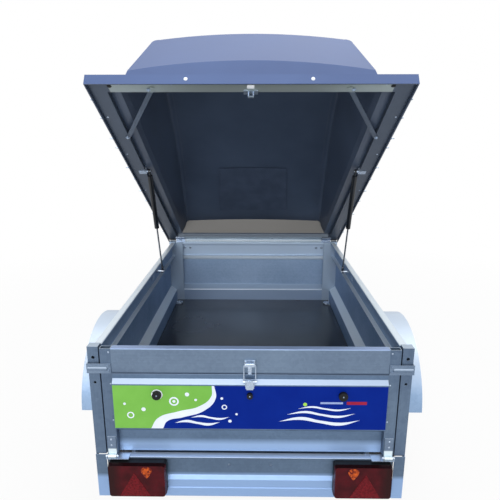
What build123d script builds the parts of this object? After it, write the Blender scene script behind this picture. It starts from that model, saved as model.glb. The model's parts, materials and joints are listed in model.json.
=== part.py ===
from build123d import *
from math import atan2, cos, degrees, hypot, pi, radians, sin, tan
import os

# Single-axle box trailer with a hinged moulded lid.
# Millimetres. +X right, +Y forward to the coupling, +Z up, ground at z = 0.

# Driving sizes of the body
body_width = 1060.0
body_length = 1540.0
floor_top = 536.0
floor_thickness = 12.0
lower_board_height = 294.0
upper_board_height = 88.0
sheet = 1.5
seat = 0.3
clear = 6.0

# Rolled board profile: outward offsets from the wall plane, heights above the floor
wall_inset = 12.0
bulge = 12.0
waist = 24.0
board_flange = 22.0
board_foot = 30.0
ledge_top = 276.0
ledge_bottom = 261.0
bulge_bottom = 96.0
waist_top = 68.0
bend = 3.0
upper_flange = 26.0
upper_lip = 10.0

button_drop = 36.0
button_pitch = 305.0
button_radius = 15.0
button_height = 11.0
latch_button_radius = 10.0

# Tie-down rings on the floor
tie_side_gap = 3.5
tie_rear_inset = 150.0
tie_front_inset = 110.0
tie_plate = 30.0
tie_ring_radius = 16.0
tie_ring_bar = 3.5

# Posts and stiles
post_width = 36.0
post_depth = 30.0
post_wall = 2.0
post_cap = 4.0
post_holes = ((34.0, 5.5), (124.0, 4.5))
front_post_depth = 42.0
corner_strip = 48.0
corner_strip_sheet = 2.0
stile_depth = 22.0
stile_gap = 6.0
post_setback = 5.0
clamp_drop = 70.0
clamp_height = 34.0
clamp_sheet = 2.5
hinge_tab = 36.0

# Toggle latch
latch_drop = 50.0
latch_loop_half = 21.0
latch_wire_radius = 2.0

# Running gear
axle_ahead_of_rear = 762.0
tyre_radius = 281.0
tyre_width = 145.0
tyre_wall = 10.0
rim_radius = 165.0
rim_width = 128.0
rim_sheet = 3.5
rim_flange = 9.0
track = 1265.0
wheel_clearance = 0.3
hub_radius = 62.0
spindle_radius = 17.0
swing_reach = 107.0
arm_thickness = 24.0
axle_tube = 80.0
axle_half_length = 470.0

# Frame
rail_height = 80.0
rail_width = 40.0
rail_wall = 2.5
rail_half_spacing = 400.0
drawbar_size = 60.0
drawbar_wall = 3.0
drawbar_overhang = 640.0
ball_ahead_of_body = 790.0
ball_radius = 25.0
ball_play = 0.3
lamp_board_drop = 10.0
lamp_board_height = 158.0
lamp_board_lip = 26.0
lamp_board_recess = 12.0
lamp_board_inset = 2.0

# Lamps
lamp_width = 197.0
lamp_height = 127.0
lamp_depth = 36.0
lamp_base_depth = 22.0
lamp_side_gap = 11.0
lamp_top_gap = 6.0
lamp_corner = 9.0
lamp_taper = 3.0

# Number plate holes in the lamp board
plate_hole_spacing = 145.0
plate_hole_radius = 3.0

# Mudguards
guard_radius = 335.0
guard_height = 390.0
guard_inner = 545.0
guard_outer = 742.0
guard_sheet = 2.5
guard_valance = 30.0
guard_bead = 5.0
guard_low_angle = 4.0

# Lid
lid_angle = 32.0
lid_gap = 6.0
lid_skirt_depth = 12.0
lid_skin = 4.0
lid_nose = 14.0
lid_rear_overhang = 18.0
frame_rail_width = 56.0
rear_rail_width = 54.0
front_rail_width = 48.0
frame_rail_height = 20.0
frame_rail_wall = 2.0
brace_width = 16.0
brace_sheet = 3.0
brace_spread = 165.0
brace_run = 318.0
hinge_radius = 7.0
hinge_pin_radius = 4.0
hinge_length = 58.0
hinge_leaf = 3.0
dome_start = 70.0
dome_half_base = 448.0
dome_side_lean = 0.26
dome_shoulder = 22.0
dome_front_height = 70.0
dome_rear_height = 300.0
dome_rear_slant = 24.0
dome_front_slant = 25.0
dome_peak = 1380.0
dome_end = 1500.0
dome_foot = 24.0
dome_tail_wall = 112.0
dome_tail_bow = 19.0

# Gas struts
strut_rail_gap = 5.0
strut_upper_along = 930.0
strut_upper_height = 4.0
strut_lower_along = 600.0
strut_lower_drop = 30.0
strut_tube_radius = 11.0
strut_rod_radius = 4.0
strut_tube_length = 275.0
strut_bore_start = 30.0
strut_eye_radius = 9.0
strut_stud_radius = 5.0

# Jockey wheel
jockey_wheel_radius = 100.0
jockey_wheel_width = 50.0
jockey_tube_radius = 24.0
jockey_tube_wall = 2.5
jockey_ahead_of_body = 430.0
jockey_trail = 32.0

# Places worked out from the driving sizes
front_reach = ball_ahead_of_body + 48.0
lamp_back = lamp_board_inset - sheet / 2 - seat
rear_reach = lamp_depth - lamp_back
rear_y = -(front_reach + body_length + rear_reach) / 2 + rear_reach
front_y = rear_y + body_length
axle_y = rear_y + axle_ahead_of_rear
box_top = floor_top + lower_board_height + upper_board_height
floor_under = floor_top - floor_thickness
foot_z = floor_under - seat - sheet
lower_top = floor_top + lower_board_height
wall_half = body_width / 2 - wall_inset
post_inner = body_width / 2 - post_width
gate_half = post_inner - stile_gap
rail_top = foot_z - seat
rail_bottom = rail_top - rail_height
beam_z = rail_bottom - seat - axle_tube / 2
beam_y = axle_y + swing_reach
drawbar_z = rail_bottom - seat - drawbar_size / 2
lid_base = box_top + post_cap + lid_gap
hinge_z = lid_base
dome_base_z = lid_base + frame_rail_height + seat
hinge_y = front_y - bulge + seat + hinge_radius
lid_half = body_width / 2 + clear + lid_skin
lid_rear = rear_y - clear - lid_rear_overhang - lid_skin
lid_length = hinge_y - lid_rear
gate_axis_y = rear_y - 8.0
gate_axis_z = foot_z
lamp_board_top = foot_z - lamp_board_drop
frame_opening_half = lid_half - lid_skin - seat - frame_rail_width
strut_x = frame_opening_half - strut_rail_gap - strut_tube_radius
floor_half = wall_half - waist - sheet - bend


def folded(points, radius=bend, thickness=sheet):
    """Section of a folded sheet, given along the middle of its thickness."""
    return trace(FilletPolyline(*points, radius=radius), line_width=thickness)


def run(section, origin, outward, length):
    """Straight member of a section whose x points outward and whose y points up."""
    along = Vector(*outward).cross(Vector(0, 0, 1))
    frame = Plane(origin=origin, x_dir=outward, z_dir=along)
    return extrude(frame * section, length / 2, both=True)


def bar(x0, x1, y0, y1, z0, z1):
    """Block between two corners."""
    block = Box(abs(x1 - x0), abs(y1 - y0), abs(z1 - z0))
    return Pos((x0 + x1) / 2, (y0 + y1) / 2, (z0 + z1) / 2) * block


def rod_x(radius, x0, x1, y, z):
    """Round bar along X."""
    return Pos((x0 + x1) / 2, y, z) * Rot(0, 90, 0) * Cylinder(radius, abs(x1 - x0))


def rod_y(radius, y0, y1, x, z):
    """Round bar along Y."""
    return Pos(x, (y0 + y1) / 2, z) * Rot(90, 0, 0) * Cylinder(radius, abs(y1 - y0))


def tube_box(width, depth, height, wall):
    """Square tube standing along Z, centred on its middle."""
    return Box(width, depth, height) - Box(width - 2 * wall, depth - 2 * wall, height + 2)


def both_sides(part):
    """A piece and its mirror image across the middle of the trailer."""
    return [part, mirror(part, Plane.YZ)]


def group(parts):
    """Solids that stay apart, kept in one node."""
    solids = []
    for item in parts:
        solids.extend(item.solids())
    return Compound(children=solids)


def lower_section():
    half = sheet / 2
    skin = -half
    return folded([
        (-board_flange, lower_top - half),
        (skin, lower_top - half),
        (skin, floor_top + ledge_top),
        (skin + bulge, floor_top + ledge_bottom),
        (skin + bulge, floor_top + bulge_bottom),
        (skin - waist, floor_top + waist_top),
        (skin - waist, foot_z + half),
        (skin - waist - board_foot, foot_z + half),
    ])


def gate_section():
    half = sheet / 2
    skin = -half
    return folded([
        (-board_flange + 4, lower_top - half),
        (skin, lower_top - half),
        (skin, floor_top + ledge_top),
        (skin + bulge, floor_top + ledge_bottom),
        (skin + bulge, floor_top + bulge_bottom),
        (skin - waist, floor_top + waist_top),
        (skin - waist, foot_z),
    ])


def upper_section():
    half = sheet / 2
    skin = -half
    bottom = lower_top + seat + half
    return folded([
        (-board_flange, bottom),
        (skin, bottom),
        (skin, box_top - half),
        (skin - upper_flange, box_top - half),
        (skin - upper_flange, box_top - half - upper_lip),
    ])


def side_board(section, x_sign):
    y0 = rear_y + post_setback + post_depth + seat
    y1 = front_y - front_post_depth - seat
    origin = (x_sign * wall_half, (y0 + y1) / 2, 0)
    board = run(section, origin, (x_sign, 0, 0), y1 - y0)
    foot_end = front_y - bulge - sheet - waist - board_foot - 1
    foot_side = wall_half - waist + sheet
    foot_notch = bar(0, x_sign * foot_side, foot_end, front_y, foot_z - 1, floor_under)
    flange_end = front_y - bulge - sheet - upper_flange - 1
    flange_side = wall_half - 2 * sheet - bend
    flange_notch = bar(0, x_sign * flange_side, flange_end, front_y, box_top - upper_lip - sheet - 1, box_top + 1)
    return board - foot_notch - flange_notch


def front_board(section):
    half = wall_half - waist - sheet - 3 * seat
    return run(section, (0, front_y - bulge, 0), (0, 1, 0), 2 * half)


def posts():
    height = box_top - foot_z
    middle = foot_z + height / 2
    x = body_width / 2 - post_width / 2
    rear = Pos(x, rear_y + post_setback + post_depth / 2, middle) * tube_box(
        post_width, post_depth, height, post_wall)
    rear_cap = bar(x - post_width / 2, x + post_width / 2, rear_y + post_setback,
                   rear_y + post_setback + post_depth, box_top, box_top + post_cap)
    rear = rear + rear_cap
    for drop, radius in post_holes:
        rear -= rod_y(radius, rear_y, rear_y + post_setback + post_wall + 2, x, box_top - drop)
    inner_y = front_y - front_post_depth
    front = Pos(x, front_y - front_post_depth / 2, middle) * tube_box(
        post_width, front_post_depth, height, post_wall)
    front_cap = bar(x - post_width / 2, x + post_width / 2, inner_y, front_y, box_top, box_top + post_cap)
    strip = bar(post_inner - corner_strip, post_inner + post_wall / 2, inner_y, inner_y + corner_strip_sheet,
                floor_top + seat, box_top)
    front = front + front_cap + strip
    return both_sides(rear), both_sides(front)


def floor_board():
    front = front_y - bulge - waist - sheet - bend
    back = rear_y + post_setback + lamp_board_lip + seat
    return bar(-floor_half, floor_half, back, front, floor_under, floor_top)


def chassis_frame():
    y0 = rear_y + lamp_board_lip + seat
    y1 = front_y - 60
    channel = make_face(Polyline(
        (0, 0), (rail_width, 0), (rail_width, rail_wall), (rail_wall, rail_wall),
        (rail_wall, rail_height - rail_wall), (rail_width, rail_height - rail_wall),
        (rail_width, rail_height), (0, rail_height), (0, 0)))
    rail = run(channel, (rail_half_spacing, (y0 + y1) / 2, rail_bottom), (1, 0, 0), y1 - y0)
    frame = rail + mirror(rail, Plane.YZ)
    for y in (y0 + 30, axle_y - 260, axle_y + 260, y1 - 30):
        cross = run(channel, (0, y, rail_bottom), (0, 1, 0), 2 * rail_half_spacing + 2)
        frame += cross
    return frame


def lamp_board():
    top = lamp_board_top
    bottom = top - lamp_board_height
    recess = lamp_board_recess
    section = folded([
        (-lamp_board_lip, top - sheet / 2),
        (-lamp_board_inset, top - sheet / 2),
        (-lamp_board_inset, top - 8),
        (-recess, top - 12),
        (-recess, top - 78),
        (-lamp_board_inset, top - 90),
        (-lamp_board_inset, top - 118),
        (-5, top - 121),
        (-lamp_board_inset, top - 124),
        (-lamp_board_inset, bottom),
        (-20, bottom),
    ], radius=1.5)
    panel = run(section, (0, rear_y, 0), (0, -1, 0), 2 * (body_width / 2 - post_width))
    for x in (-plate_hole_spacing / 2, plate_hole_spacing / 2):
        panel -= rod_y(plate_hole_radius, rear_y, rear_y + 20, x, top - 40)
    cheek_top = foot_z - seat
    lip = lamp_board_lip
    cheek = bar(post_inner - 1, body_width / 2, rear_y - 0.5, rear_y + lip, bottom, cheek_top)
    cheek -= bar(post_inner - 2, body_width / 2 - sheet, rear_y + sheet, rear_y + lip + 1, bottom - 1, cheek_top + 1)
    board = panel
    for side in both_sides(cheek):
        board += side
    return board


def lamp(part):
    x = post_inner - lamp_side_gap - lamp_width / 2
    z = lamp_board_top - lamp_top_gap - lamp_height / 2
    wide = RectangleRounded(lamp_width, lamp_height, lamp_corner)
    narrow = RectangleRounded(lamp_width - 2 * lamp_taper, lamp_height - 2 * lamp_taper, lamp_corner)
    plane = Plane(origin=(x, rear_y + lamp_back, z), x_dir=(1, 0, 0), z_dir=(0, -1, 0))
    if part == "body":
        return extrude(plane * wide, lamp_base_depth)
    base = plane.offset(lamp_base_depth + seat)
    tip = plane.offset(lamp_depth)
    return loft([base * wide, tip * narrow])


def tie_rings():
    """Tie-down rings that lie on the floor near its corners: plate, eye and ring."""
    parts = []
    side = floor_half - tie_side_gap
    low = floor_top + seat
    for y in (rear_y + tie_rear_inset, front_y - tie_front_inset):
        plate = bar(side - tie_plate, side, y - 0.6 * tie_plate, y + 0.6 * tie_plate, low, low + 3)
        eye = Pos(side - 4, y, low + 7) * Rot(90, 0, 0) * Cylinder(6, 16)
        ring = Pos(side - 20, y, low + 7) * Torus(tie_ring_radius, tie_ring_bar)
        parts.extend(both_sides(plate + eye + ring))
    return parts


def buttons(spots, radius=button_radius, height=button_height):
    """Round tarpaulin buttons, each at a point on a wall and facing out of it."""
    return [Plane(origin=p, z_dir=d) * (Pos(0, 0, height / 2) * Cylinder(radius, height)) for p, d in spots]


def side_buttons():
    z = floor_top + ledge_bottom - button_drop
    spots = []
    for step in range(-2, 3):
        y = (rear_y + front_y) / 2 + step * button_pitch
        for s in (-1, 1):
            spots.append(((s * (wall_half + bulge + seat), y, z), (s, 0, 0)))
    for step in (-1, 0, 1):
        spots.append(((step * button_pitch, front_y + seat, z), (0, 1, 0)))
    return buttons(spots)


def gate_buttons():
    z = floor_top + ledge_bottom - button_drop
    sides = buttons([((step * button_pitch, rear_y - bulge - seat, z), (0, -1, 0)) for step in (-1, 1)])
    return sides + buttons([((0, rear_y - bulge - seat, z), (0, -1, 0))], radius=latch_button_radius)


def mudguard(sign):
    low = guard_low_angle
    outer = guard_radius
    inner = guard_radius - guard_sheet
    arc = CenterArc((0, 0), (outer + inner) / 2, low, 180 - 2 * low)
    band = trace(arc, line_width=guard_sheet)
    web_arc = CenterArc((0, 0), outer - guard_valance / 2, low, 180 - 2 * low)
    web = trace(web_arc, line_width=guard_valance)
    lip_arc = CenterArc((0, 0), outer - 6, low, 180 - 2 * low)
    lip = trace(lip_arc, line_width=12)
    plane = Plane(origin=(guard_inner, axle_y, guard_height), x_dir=(0, 1, 0), z_dir=(1, 0, 0))
    body = extrude(plane * band, guard_outer - guard_inner)
    body += extrude(plane * web, guard_sheet)
    body += extrude(plane.offset(guard_outer - guard_inner - guard_sheet) * lip, guard_sheet)
    bead_path = plane.offset(guard_outer - guard_inner - guard_bead) * CenterArc(
        (0, 0), outer - guard_bead, low, 180 - 2 * low)
    bead = Plane(origin=bead_path @ 0, z_dir=bead_path % 0) * Circle(guard_bead)
    body += sweep(bead, path=bead_path)
    middle = guard_radius - guard_valance / 2
    for angle in (58, 90, 122):
        y = axle_y + middle * cos(radians(angle))
        z = guard_height + middle * sin(radians(angle))
        body += rod_x(10, wall_half + bulge + seat, guard_inner + 1, y, z)
    return body if sign > 0 else mirror(body, Plane.YZ)


def axle_beam():
    beam = Pos(0, beam_y, beam_z) * Rot(0, 90, 0) * tube_box(axle_tube, axle_tube, 2 * axle_half_length, 5)
    plate_y = axle_tube / 2 + 34
    for side in (-1, 1):
        x = side * (rail_half_spacing + rail_width / 2)
        plate = bar(x - 20, x + 20, beam_y - plate_y, beam_y + plate_y, rail_bottom - seat - 6, rail_bottom - seat)
        for y in (beam_y - plate_y + 14, beam_y + plate_y - 14):
            plate -= Pos(x, y, rail_bottom) * Cylinder(5.5, 20)
            plate += Pos(x, y, rail_bottom - seat - 9) * extrude(RegularPolygon(9, 6), 5, both=True)
        beam += plate
    return beam


def swing_arm():
    x0 = axle_half_length + seat
    hub_z = tyre_radius
    length = hypot(swing_reach, beam_z - hub_z)
    tilt = degrees(atan2(hub_z - beam_z, -swing_reach))
    slot_face = SlotCenterToCenter(length, 56)
    plane = Plane(origin=(x0, (beam_y + axle_y) / 2, (beam_z + hub_z) / 2), x_dir=(0, 1, 0), z_dir=(1, 0, 0))
    arm = extrude(plane * (Rot(0, 0, tilt) * slot_face), arm_thickness)
    spindle = rod_x(spindle_radius, x0 + arm_thickness - 1, track / 2 + 20, axle_y, hub_z)
    return arm + spindle


def tyre():
    r = tyre_radius
    w = tyre_width / 2
    bead = rim_radius + wheel_clearance
    face = rim_width / 2 - rim_sheet - wheel_clearance
    shoulder = r - 66
    outer = [
        Polyline((-face, bead), (-face, rim_radius + rim_flange + 2), (-w + 5, rim_radius + rim_flange + 6),
                 (-w, shoulder)),
        ThreePointArc((-w, shoulder), (-w + 1.5, r - 42), (-w + 6, r - 20)),
        ThreePointArc((-w + 6, r - 20), (-w + 10, r - 8), (-w + 22, r - 3)),
        ThreePointArc((-w + 22, r - 3), (0, r), (w - 22, r - 3)),
        ThreePointArc((w - 22, r - 3), (w - 10, r - 8), (w - 6, r - 20)),
        ThreePointArc((w - 6, r - 20), (w - 1.5, r - 42), (w, shoulder)),
        Polyline((w, shoulder), (w - 5, rim_radius + rim_flange + 6), (face, rim_radius + rim_flange + 2),
                 (face, bead)),
    ]
    inner = [
        Polyline((face, bead), (face - 10, bead), (w - tyre_wall, shoulder)),
        Line((w - tyre_wall, shoulder), (w - tyre_wall - 8, r - 18)),
        Line((w - tyre_wall - 8, r - 18), (-w + tyre_wall + 8, r - 18)),
        Line((-w + tyre_wall + 8, r - 18), (-w + tyre_wall, shoulder)),
        Polyline((-w + tyre_wall, shoulder), (-face + 10, bead), (-face, bead)),
    ]
    return revolve(make_face(outer + inner), Axis.X)


def wheel_rim():
    r = rim_radius
    t = rim_sheet
    half = rim_width / 2
    flange = r + rim_flange
    well = r - 16
    barrel = make_face(Polyline(
        (-half, flange), (-half + t, flange), (-half + t, r), (-34, r), (-26, well), (14, well), (24, r),
        (half - t, r), (half - t, flange), (half, flange), (half, r - t), (26, r - t), (16, well - t),
        (-28, well - t), (-36, r - t), (-half, r - t), (-half, flange)))
    disc = make_face(Polyline(
        (2, well - 1), (10, well - 1), (27, r - 44), (37, 100), (37, 92), (28, 76), (28, 30), (23.7, 30),
        (23.7, 78), (32, 94), (31, 101), (21, r - 46), (2, well - 10), (2, well - 1)))
    hub = make_face(Polyline(
        (-26, spindle_radius + wheel_clearance), (-26, 46), (-4, hub_radius), (24, hub_radius), (24, 33), (56, 33), (62, 26), (64, 12),
        (64, 0), (38, 0), (38, spindle_radius + wheel_clearance), (-26, spindle_radius + wheel_clearance)))
    wheel = revolve(barrel, Axis.X) + revolve(disc, Axis.X)
    for i in range(12):
        wheel -= Rot(i * 30, 0, 0) * (Pos(25, 0, 119) * Rot(0, 90, 0) * Cylinder(9, 40))
    wheel += revolve(hub, Axis.X)
    nut = extrude(RegularPolygon(9.5, 6), 10)
    for i in range(4):
        wheel += Rot(i * 90 + 45, 0, 0) * (Pos(27, 0, 49) * Rot(0, 90, 0) * nut)
    return wheel


def place_wheel(part, sign):
    moved = Pos(track / 2, axle_y, tyre_radius) * part
    return moved if sign > 0 else mirror(moved, Plane.YZ)


def drawbar():
    y0 = beam_y + axle_tube / 2 + seat
    y1 = front_y + drawbar_overhang
    tube = Pos(0, (y0 + y1) / 2, drawbar_z) * Rot(90, 0, 0) * tube_box(
        drawbar_size, drawbar_size, y1 - y0, drawbar_wall)
    return tube


def coupling_head():
    y_ball = front_y + ball_ahead_of_body
    y_back = front_y + drawbar_overhang - 110
    inner = drawbar_size / 2 + seat
    outer = inner + 4
    z0 = drawbar_z - 22
    z1 = drawbar_z + drawbar_size / 2 + seat + 4
    plan = Pos(0, (y_back + y_ball - 40) / 2) * Rectangle(2 * outer, y_ball - 40 - y_back)
    plan = plan + make_face(Polyline(
        (-outer, y_ball - 60), (outer, y_ball - 60), (34, y_ball), (-34, y_ball), (-outer, y_ball - 60)))
    plan = plan + Pos(0, y_ball) * Circle(36)
    body = extrude(Plane.XY.offset(z0) * plan, z1 - z0)
    body -= bar(-inner, inner, y_back - 1, front_y + drawbar_overhang + 2, z0 - 1, z1 - 4)
    body += Pos(0, y_ball, drawbar_z) * Sphere(36)
    body += Pos(0, y_ball + 10, drawbar_z) * Cylinder(38, 44)
    body -= Pos(0, y_ball, drawbar_z) * Sphere(ball_radius + ball_play)
    body -= Pos(0, y_ball, drawbar_z - 50) * Cylinder(ball_radius + ball_play, 100)
    return body


def coupling_lever():
    y_ball = front_y + ball_ahead_of_body
    z1 = drawbar_z + drawbar_size / 2 + seat + 4 + seat
    pivot = bar(-12, 12, y_ball - 62, y_ball - 30, z1, z1 + 22)
    grip = Pos(0, y_ball - 112, z1 + 26) * Rot(-8, 0, 0) * Box(30, 150, 10)
    return pivot + grip


def jockey_x():
    return -(drawbar_size / 2 + seat + 16 + jockey_tube_radius)


def jockey_parts():
    x = jockey_x()
    y = front_y + jockey_ahead_of_body
    top = drawbar_z + 250
    bottom = drawbar_z - 110
    outer = Pos(x, y, (top + bottom) / 2) * (
        Cylinder(jockey_tube_radius, top - bottom) - Cylinder(jockey_tube_radius - jockey_tube_wall, top - bottom + 2))
    collar = Pos(x, y, drawbar_z) * (Cylinder(jockey_tube_radius + 6, 56) - Cylinder(jockey_tube_radius - 1, 60))
    plate = bar(-(drawbar_size / 2 + seat + 8), -(drawbar_size / 2 + seat), y - 40, y + 40,
                drawbar_z - 28, drawbar_z + 28)
    link = bar(x + jockey_tube_radius, -(drawbar_size / 2 + seat + 4), y - 16, y + 16,
               drawbar_z - 28, drawbar_z + 28)
    clamp = outer + collar + plate + link
    inner_r = jockey_tube_radius - jockey_tube_wall - 0.8
    axle_z = jockey_wheel_radius
    leg_bottom = axle_z + jockey_wheel_radius + 26
    leg = Pos(x, y, (top - 120 + leg_bottom) / 2) * (
        Cylinder(inner_r, top - 120 - leg_bottom) - Cylinder(inner_r - 2, top - 120 - leg_bottom + 2))
    crown_z = leg_bottom - seat
    crown = Pos(x, y, crown_z - 4) * Cylinder(24, 8)
    half = jockey_wheel_width / 2 + 4
    yoke = bar(x - half - 4, x + half + 4, y - 26 - jockey_trail / 2, y + 26 - jockey_trail / 2, crown_z - 12, crown_z - 8)
    for s in (-1, 1):
        side = make_face(Polyline(
            (-26 - jockey_trail / 2, crown_z - 9), (26 - jockey_trail / 2, crown_z - 9),
            (14 - jockey_trail, axle_z - 14), (-14 - jockey_trail, axle_z - 14),
            (-26 - jockey_trail / 2, crown_z - 9)))
        plane = Plane(origin=(x + s * (half + 2) - 2, y, 0), x_dir=(0, 1, 0), z_dir=(1, 0, 0))
        yoke += extrude(plane * side, 4)
    bolt = rod_x(5, x - half - 10, x + half + 10, y - jockey_trail, axle_z)
    fork = crown + yoke + bolt
    wheel = Pos(x, y - jockey_trail, axle_z) * Rot(0, 90, 0) * (
        Cylinder(jockey_wheel_radius, jockey_wheel_width) - Cylinder(5.5, jockey_wheel_width + 2))
    wheel = fillet(wheel.edges().filter_by(GeomType.CIRCLE).sort_by(SortBy.RADIUS)[-2:], 10)
    stem = Pos(x, y, top + seat + 10) * Cylinder(jockey_tube_radius, 20)
    arm = bar(x - 8, x + 8, y, y + 110, top + seat + 20, top + seat + 26)
    knob = Pos(x, y + 102, top + seat + 26 + 30) * Cylinder(9, 60)
    crank = stem + arm + knob
    return clamp, crank, leg, fork, wheel


def turned(part):
    """Turns a lid piece from its shut place to its open rest place."""
    axis = Axis((0, hinge_y, hinge_z), (1, 0, 0))
    return part.rotate(axis, -lid_angle)


def dome_height(along):
    """Height of the roof's middle line above the lid's flange, low in front and full at the tail."""
    share = min(1.0, (along - dome_start) / (dome_peak - dome_start))
    return dome_front_height + (dome_rear_height - dome_front_height) * sin(share * pi / 2)


def dome_section(along, inset):
    """Cross-section of the dome: kicked-out foot, leaning side, rounded shoulder, cambered roof."""
    height = dome_height(along) - inset
    half = dome_half_base - inset
    foot = min(dome_foot, height / 3)
    knee = half - 12
    camber = height * 0.09
    shoulder = knee - (height - camber - foot) * dome_side_lean
    top = height - camber
    r = dome_shoulder
    base = -1 if inset else 0
    outline = [
        Polyline((-half, base), (-half, 0.01), (-knee, foot), (-shoulder, top - r)),
        ThreePointArc((-shoulder, top - r), (-shoulder + r * 0.35, top - r * 0.25), (-shoulder + r * 1.3, top)),
        ThreePointArc((-shoulder + r * 1.3, top), (0, height), (shoulder - r * 1.3, top)),
        ThreePointArc((shoulder - r * 1.3, top), (shoulder - r * 0.35, top - r * 0.25), (shoulder, top - r)),
        Polyline((shoulder, top - r), (knee, foot), (half, 0.01), (half, base), (-half, base)),
    ]
    plane = Plane(origin=(0, hinge_y - along, dome_base_z), x_dir=(-1, 0, 0), z_dir=(0, 1, 0))
    return plane * make_face(outline)


def dome_solid(inset):
    """The dome as a solid: a loft from nose to tail, cut to a leaning front wall, a low upright
    tail wall, and a leaning tail panel that is bowed in plan, so its lower edge shows as an arch."""
    first = dome_start + inset
    last = dome_end - inset
    body = loft([dome_section(a, inset) for a in (dome_start - 25, 340, 700, 1100, dome_end + 20)])
    front = Pos(0, hinge_y - first, dome_base_z) * Rot(dome_front_slant, 0, 0) * Pos(0, 300, 0) * Box(1400, 600, 1600)
    tail = Pos(0, hinge_y - last - 300, dome_base_z) * Box(1400, 600, 1600)
    half = dome_half_base
    sag = dome_tail_bow
    bow_radius = (half * half + sag * sag) / (2 * sag)
    lean_start = last + dome_tail_wall * tan(radians(dome_rear_slant))
    bow = Pos(0, hinge_y - lean_start, dome_base_z) * Rot(-dome_rear_slant, 0, 0)
    bow = bow * Pos(0, bow_radius, 0) * Cylinder(bow_radius, 1600)
    return (body - front - tail) & bow


def lid_shell():
    z0 = dome_base_z
    y_front = hinge_y + lid_nose
    plate = bar(-lid_half, lid_half, lid_rear, y_front, z0, z0 + lid_skin)
    skirt_z = box_top - lid_skirt_depth + post_cap + lid_gap
    skirt = bar(-lid_half, lid_half, lid_rear, y_front, skirt_z, z0 + lid_skin)
    skirt -= bar(-lid_half + lid_skin, lid_half - lid_skin, lid_rear + lid_skin, y_front + 1, skirt_z - 1, z0)
    shell = plate + skirt + dome_solid(0)
    shell -= dome_solid(lid_skin)
    return shell


def lid_frame():
    z0 = lid_base
    z1 = lid_base + frame_rail_height
    half = lid_half - lid_skin - seat
    y0 = lid_rear + lid_skin + seat
    y1 = hinge_y - hinge_radius - 2
    w = frame_rail_width
    outer = bar(-half, half, y0, y1, z0, z1)
    t = frame_rail_wall
    inner = bar(-half + w, half - w, y0 + rear_rail_width, y1 - front_rail_width, z0 - 1, z1 + 1)
    hollow = bar(-half + t, half - t, y0 + t, y1 - t, z0 + t, z1 - t)
    hollow -= bar(-half + w - t, half - w + t, y0 + rear_rail_width - t, y1 - front_rail_width + t, z0 - 1, z1 + 1)
    return outer - inner - hollow


def lid_braces():
    """Flat bars across the rear corners of the lid frame, under its rails."""
    z = lid_base - seat - brace_sheet / 2
    x1 = frame_opening_half + brace_width / 2
    y0 = lid_rear + lid_skin + rear_rail_width / 2
    length = hypot(brace_spread, brace_run)
    turn = degrees(atan2(brace_run, brace_spread))
    brace = Pos(x1 - brace_spread / 2, y0 + brace_run / 2, z) * Rot(0, 0, turn) * Box(length, brace_width, brace_sheet)
    return both_sides(brace)


def lid_keeper():
    y = rear_y + upper_flange + clear + 4
    z = lid_base - seat
    plate = bar(-24, 24, y - 16, y + 3, z - 3, z)
    loop = bar(-10, 10, y - 3, y + 3, z - 17, z - 3) - bar(-6, 6, y - 5, y + 5, z - 13, z - 3)
    return plate + loop


def hinge_spots():
    return [s * (post_inner - seat - 3 - hinge_length / 2) for s in (-1, 1)]


def lid_leaves():
    parts = []
    third = hinge_length / 3
    for x in hinge_spots():
        z1 = lid_base - seat
        back = bar(x - hinge_length / 2, x + hinge_length / 2, hinge_y - 40, hinge_y - hinge_radius - 3, z1 - 3, z1)
        neck = bar(x - third / 2 + seat, x + third / 2 - seat, hinge_y - hinge_radius - 4, hinge_y - 5, z1 - 3, z1)
        knuckle = rod_x(hinge_radius, x - third / 2 + seat, x + third / 2 - seat, hinge_y, hinge_z)
        knuckle -= rod_x(hinge_pin_radius + seat, x - third, x + third, hinge_y, hinge_z)
        parts.append(back + neck + knuckle)
    return parts


def body_leaves():
    parts = []
    third = hinge_length / 3
    skin = front_y - bulge + seat
    for x in hinge_spots():
        x0 = x - hinge_length / 2
        leaf = bar(x0, x0 + hinge_length, skin, skin + hinge_leaf, box_top - 46, hinge_z - hinge_radius + 0.5)
        leaf += rod_x(hinge_pin_radius, x0, x0 + hinge_length, hinge_y, hinge_z)
        for start in (x0, x0 + 2 * third):
            leaf += rod_x(hinge_radius, start, start + third, hinge_y, hinge_z)
            leaf += bar(start, start + third, skin, skin + hinge_leaf, hinge_z - hinge_radius, hinge_z)
        parts.append(leaf)
    return parts


def strut_points():
    upper = Vector(strut_x, hinge_y - strut_upper_along, hinge_z + strut_upper_height)
    lower = Vector(strut_x, hinge_y - strut_lower_along, hinge_z - strut_lower_drop)
    return upper, lower


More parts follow.
